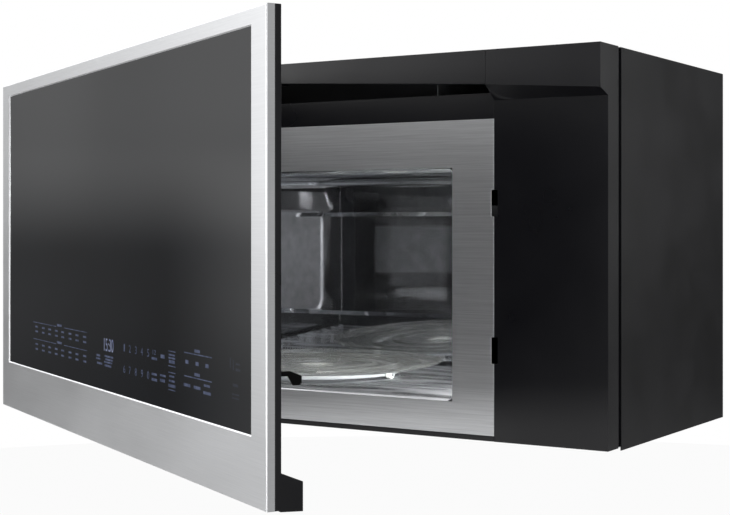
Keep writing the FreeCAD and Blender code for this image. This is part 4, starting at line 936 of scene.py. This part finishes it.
def follow(source, points):
    """A smooth curve through (position, value) points."""
    low, high = points[0][0], points[-1][0]
    peak = max(value for _, value in points)
    spread = add(sky, "ShaderNodeMapRange", {"Value": source, "From Min": low, "From Max": high})
    ramp = add(sky, "ShaderNodeValToRGB", {"Fac": spread.outputs["Result"]})
    ramp.color_ramp.interpolation = "EASE"
    stops = ramp.color_ramp.elements
    while len(stops) < len(points):
        stops.new(0.5)
    for stop, (at, value) in zip(stops, points):
        stop.position = (at - low) / (high - low)
        stop.color = (value / peak, value / peak, value / peak, 1)
    return times(ramp.outputs["Color"], peak)


def times(first, second):
    """The product of two values."""
    return combined(sky, "MULTIPLY", first, second)


def direction(axis, *points):
    """A smooth curve over one axis of the direction."""
    return follow(way.outputs[axis], points)


# A pale ceiling over a dim room.
ceiling = direction("Z", (-0.2, 0.06), (0.15, 0.06), (0.6, 0.9), (1.0, 0.9))
# A long softbox on the left, feathered towards the wall that the oven hangs on: its foot, its
# body and its head.
left_low = times(
    direction("Z", (-0.2, 0.5), (-0.12, 0.5), (-0.04, 0.9), (0.0, 1.0), (0.06, 0.0)),
    times(direction("X", (-0.64, 1.0), (-0.52, 0.0)),
          direction("Y", (-0.4, 1.5), (0.04, 1.4), (0.16, 0.15), (0.3, 0.1))),
)
left_softbox = times(
    direction("Z", (-0.02, 0.0), (0.05, 1.0), (0.09, 1.05), (0.35, 1.0), (0.6, 0.0)),
    times(direction("X", (-0.64, 1.0), (-0.52, 0.0)),
          direction("Y", (-0.4, 1.45), (0.06, 1.3), (0.2, 0.6), (0.3, 0.3))),
)
left_top = times(direction("Z", (0.2, 0.0), (0.4, 1.4), (1.0, 1.4)),
                 times(direction("X", (-0.64, 1.0), (-0.45, 0.0)),
                       direction("Y", (-0.8, 0.12), (0.1, 1.0))))
# A bright patch in front and on the left, over the horizon and under it.
front_glow = times(direction("Z", (0.0, 0.0), (0.05, 1.0), (0.15, 1.0), (0.3, 0.0)),
                   times(direction("Y", (-0.8, 1.0), (-0.6, 0.0)),
                         direction("X", (-0.62, 7.4), (-0.5, 2.0), (-0.44, 0.0))))
front_sweep = times(direction("Z", (-0.3, 1.5), (-0.09, 1.5), (-0.02, 0.0)),
                    times(direction("Y", (-0.9, 1.0), (-0.5, 0.0)),
                          direction("X", (-0.62, 0.1), (-0.54, 0.4), (-0.47, 2.5))))
# The lit room behind the camera, and a weak card far out on the right.
camera_side = times(direction("X", (0.0, 0.0), (0.5, 1.0)), direction("Y", (-0.6, 1.0), (0.0, 0.0)))
right_card = times(direction("X", (0.9, 0.0), (0.98, 0.25)), direction("Z", (-0.3, 1.0), (0.3, 1.0)))
room_light = ceiling
for part in (left_low, left_softbox, left_top, front_glow, front_sweep, camera_side, right_card):
    room_light = combined(sky, "ADD", room_light, part)
seen = add(sky, "ShaderNodeLightPath").outputs["Is Camera Ray"]
strength = blended(sky, seen, room_light, 1.0)
backdrop = add(sky, "ShaderNodeBackground", {"Color": BACKDROP_WHITE, "Strength": strength})
add(sky, "ShaderNodeOutputWorld", {"Surface": backdrop.outputs["Background"]})


def softbox(name, place, aim, width, height, watts):
    """A rectangular lamp at a place in metres, turned to its aim."""
    data = bpy.data.lights.new(name, "AREA")
    data.shape = "RECTANGLE"
    data.size, data.size_y, data.energy = width, height, watts
    lamp = bpy.data.objects.new(name, data)
    lamp.location = place
    lamp.rotation_euler = (Vector(aim) - Vector(place)).to_track_quat("-Z", "Y").to_euler()
    lamp.visible_camera = False
    bpy.context.scene.collection.objects.link(lamp)


# A large lamp overhead, a small one that lights the paper left of the door, a strip behind the
# case's right side, and the oven's own lamp.
softbox("overhead", (0.9, -0.6, 2.5), (0, -0.3, 0.1), 2.0, 2.0, 6)
softbox("floor_wash", (-1.0, -1.1, 0.3), (-1.0, -0.8, -0.48), 0.3, 0.3, 6)
softbox("right_rear", (2.0, 1.75, 0.6), (0.35, -0.2, 0.2), 0.5, 1.3, 8.0)
softbox("oven_light", (0.2, -0.262, 0.26), (-0.1, -0.17, 0.04), 0.014, 0.01, 2.4)

# The camera that the photograph's edges fit, with a 36 mm sensor, level with the body's middle.
camera_data = bpy.data.cameras.new("camera")
camera_data.lens = 72.82
camera_data.sensor_width = 36
camera_data.shift_y = -0.0428
camera = bpy.data.objects.new("camera", camera_data)
camera.location = (0.923, -1.6105, 0.2104)
camera.rotation_euler = Vector((-0.534, 0.845, 0)).to_track_quat("-Z", "Y").to_euler()
bpy.context.scene.collection.objects.link(camera)
bpy.context.scene.camera = camera
bpy.context.scene.view_settings.view_transform = "Standard"
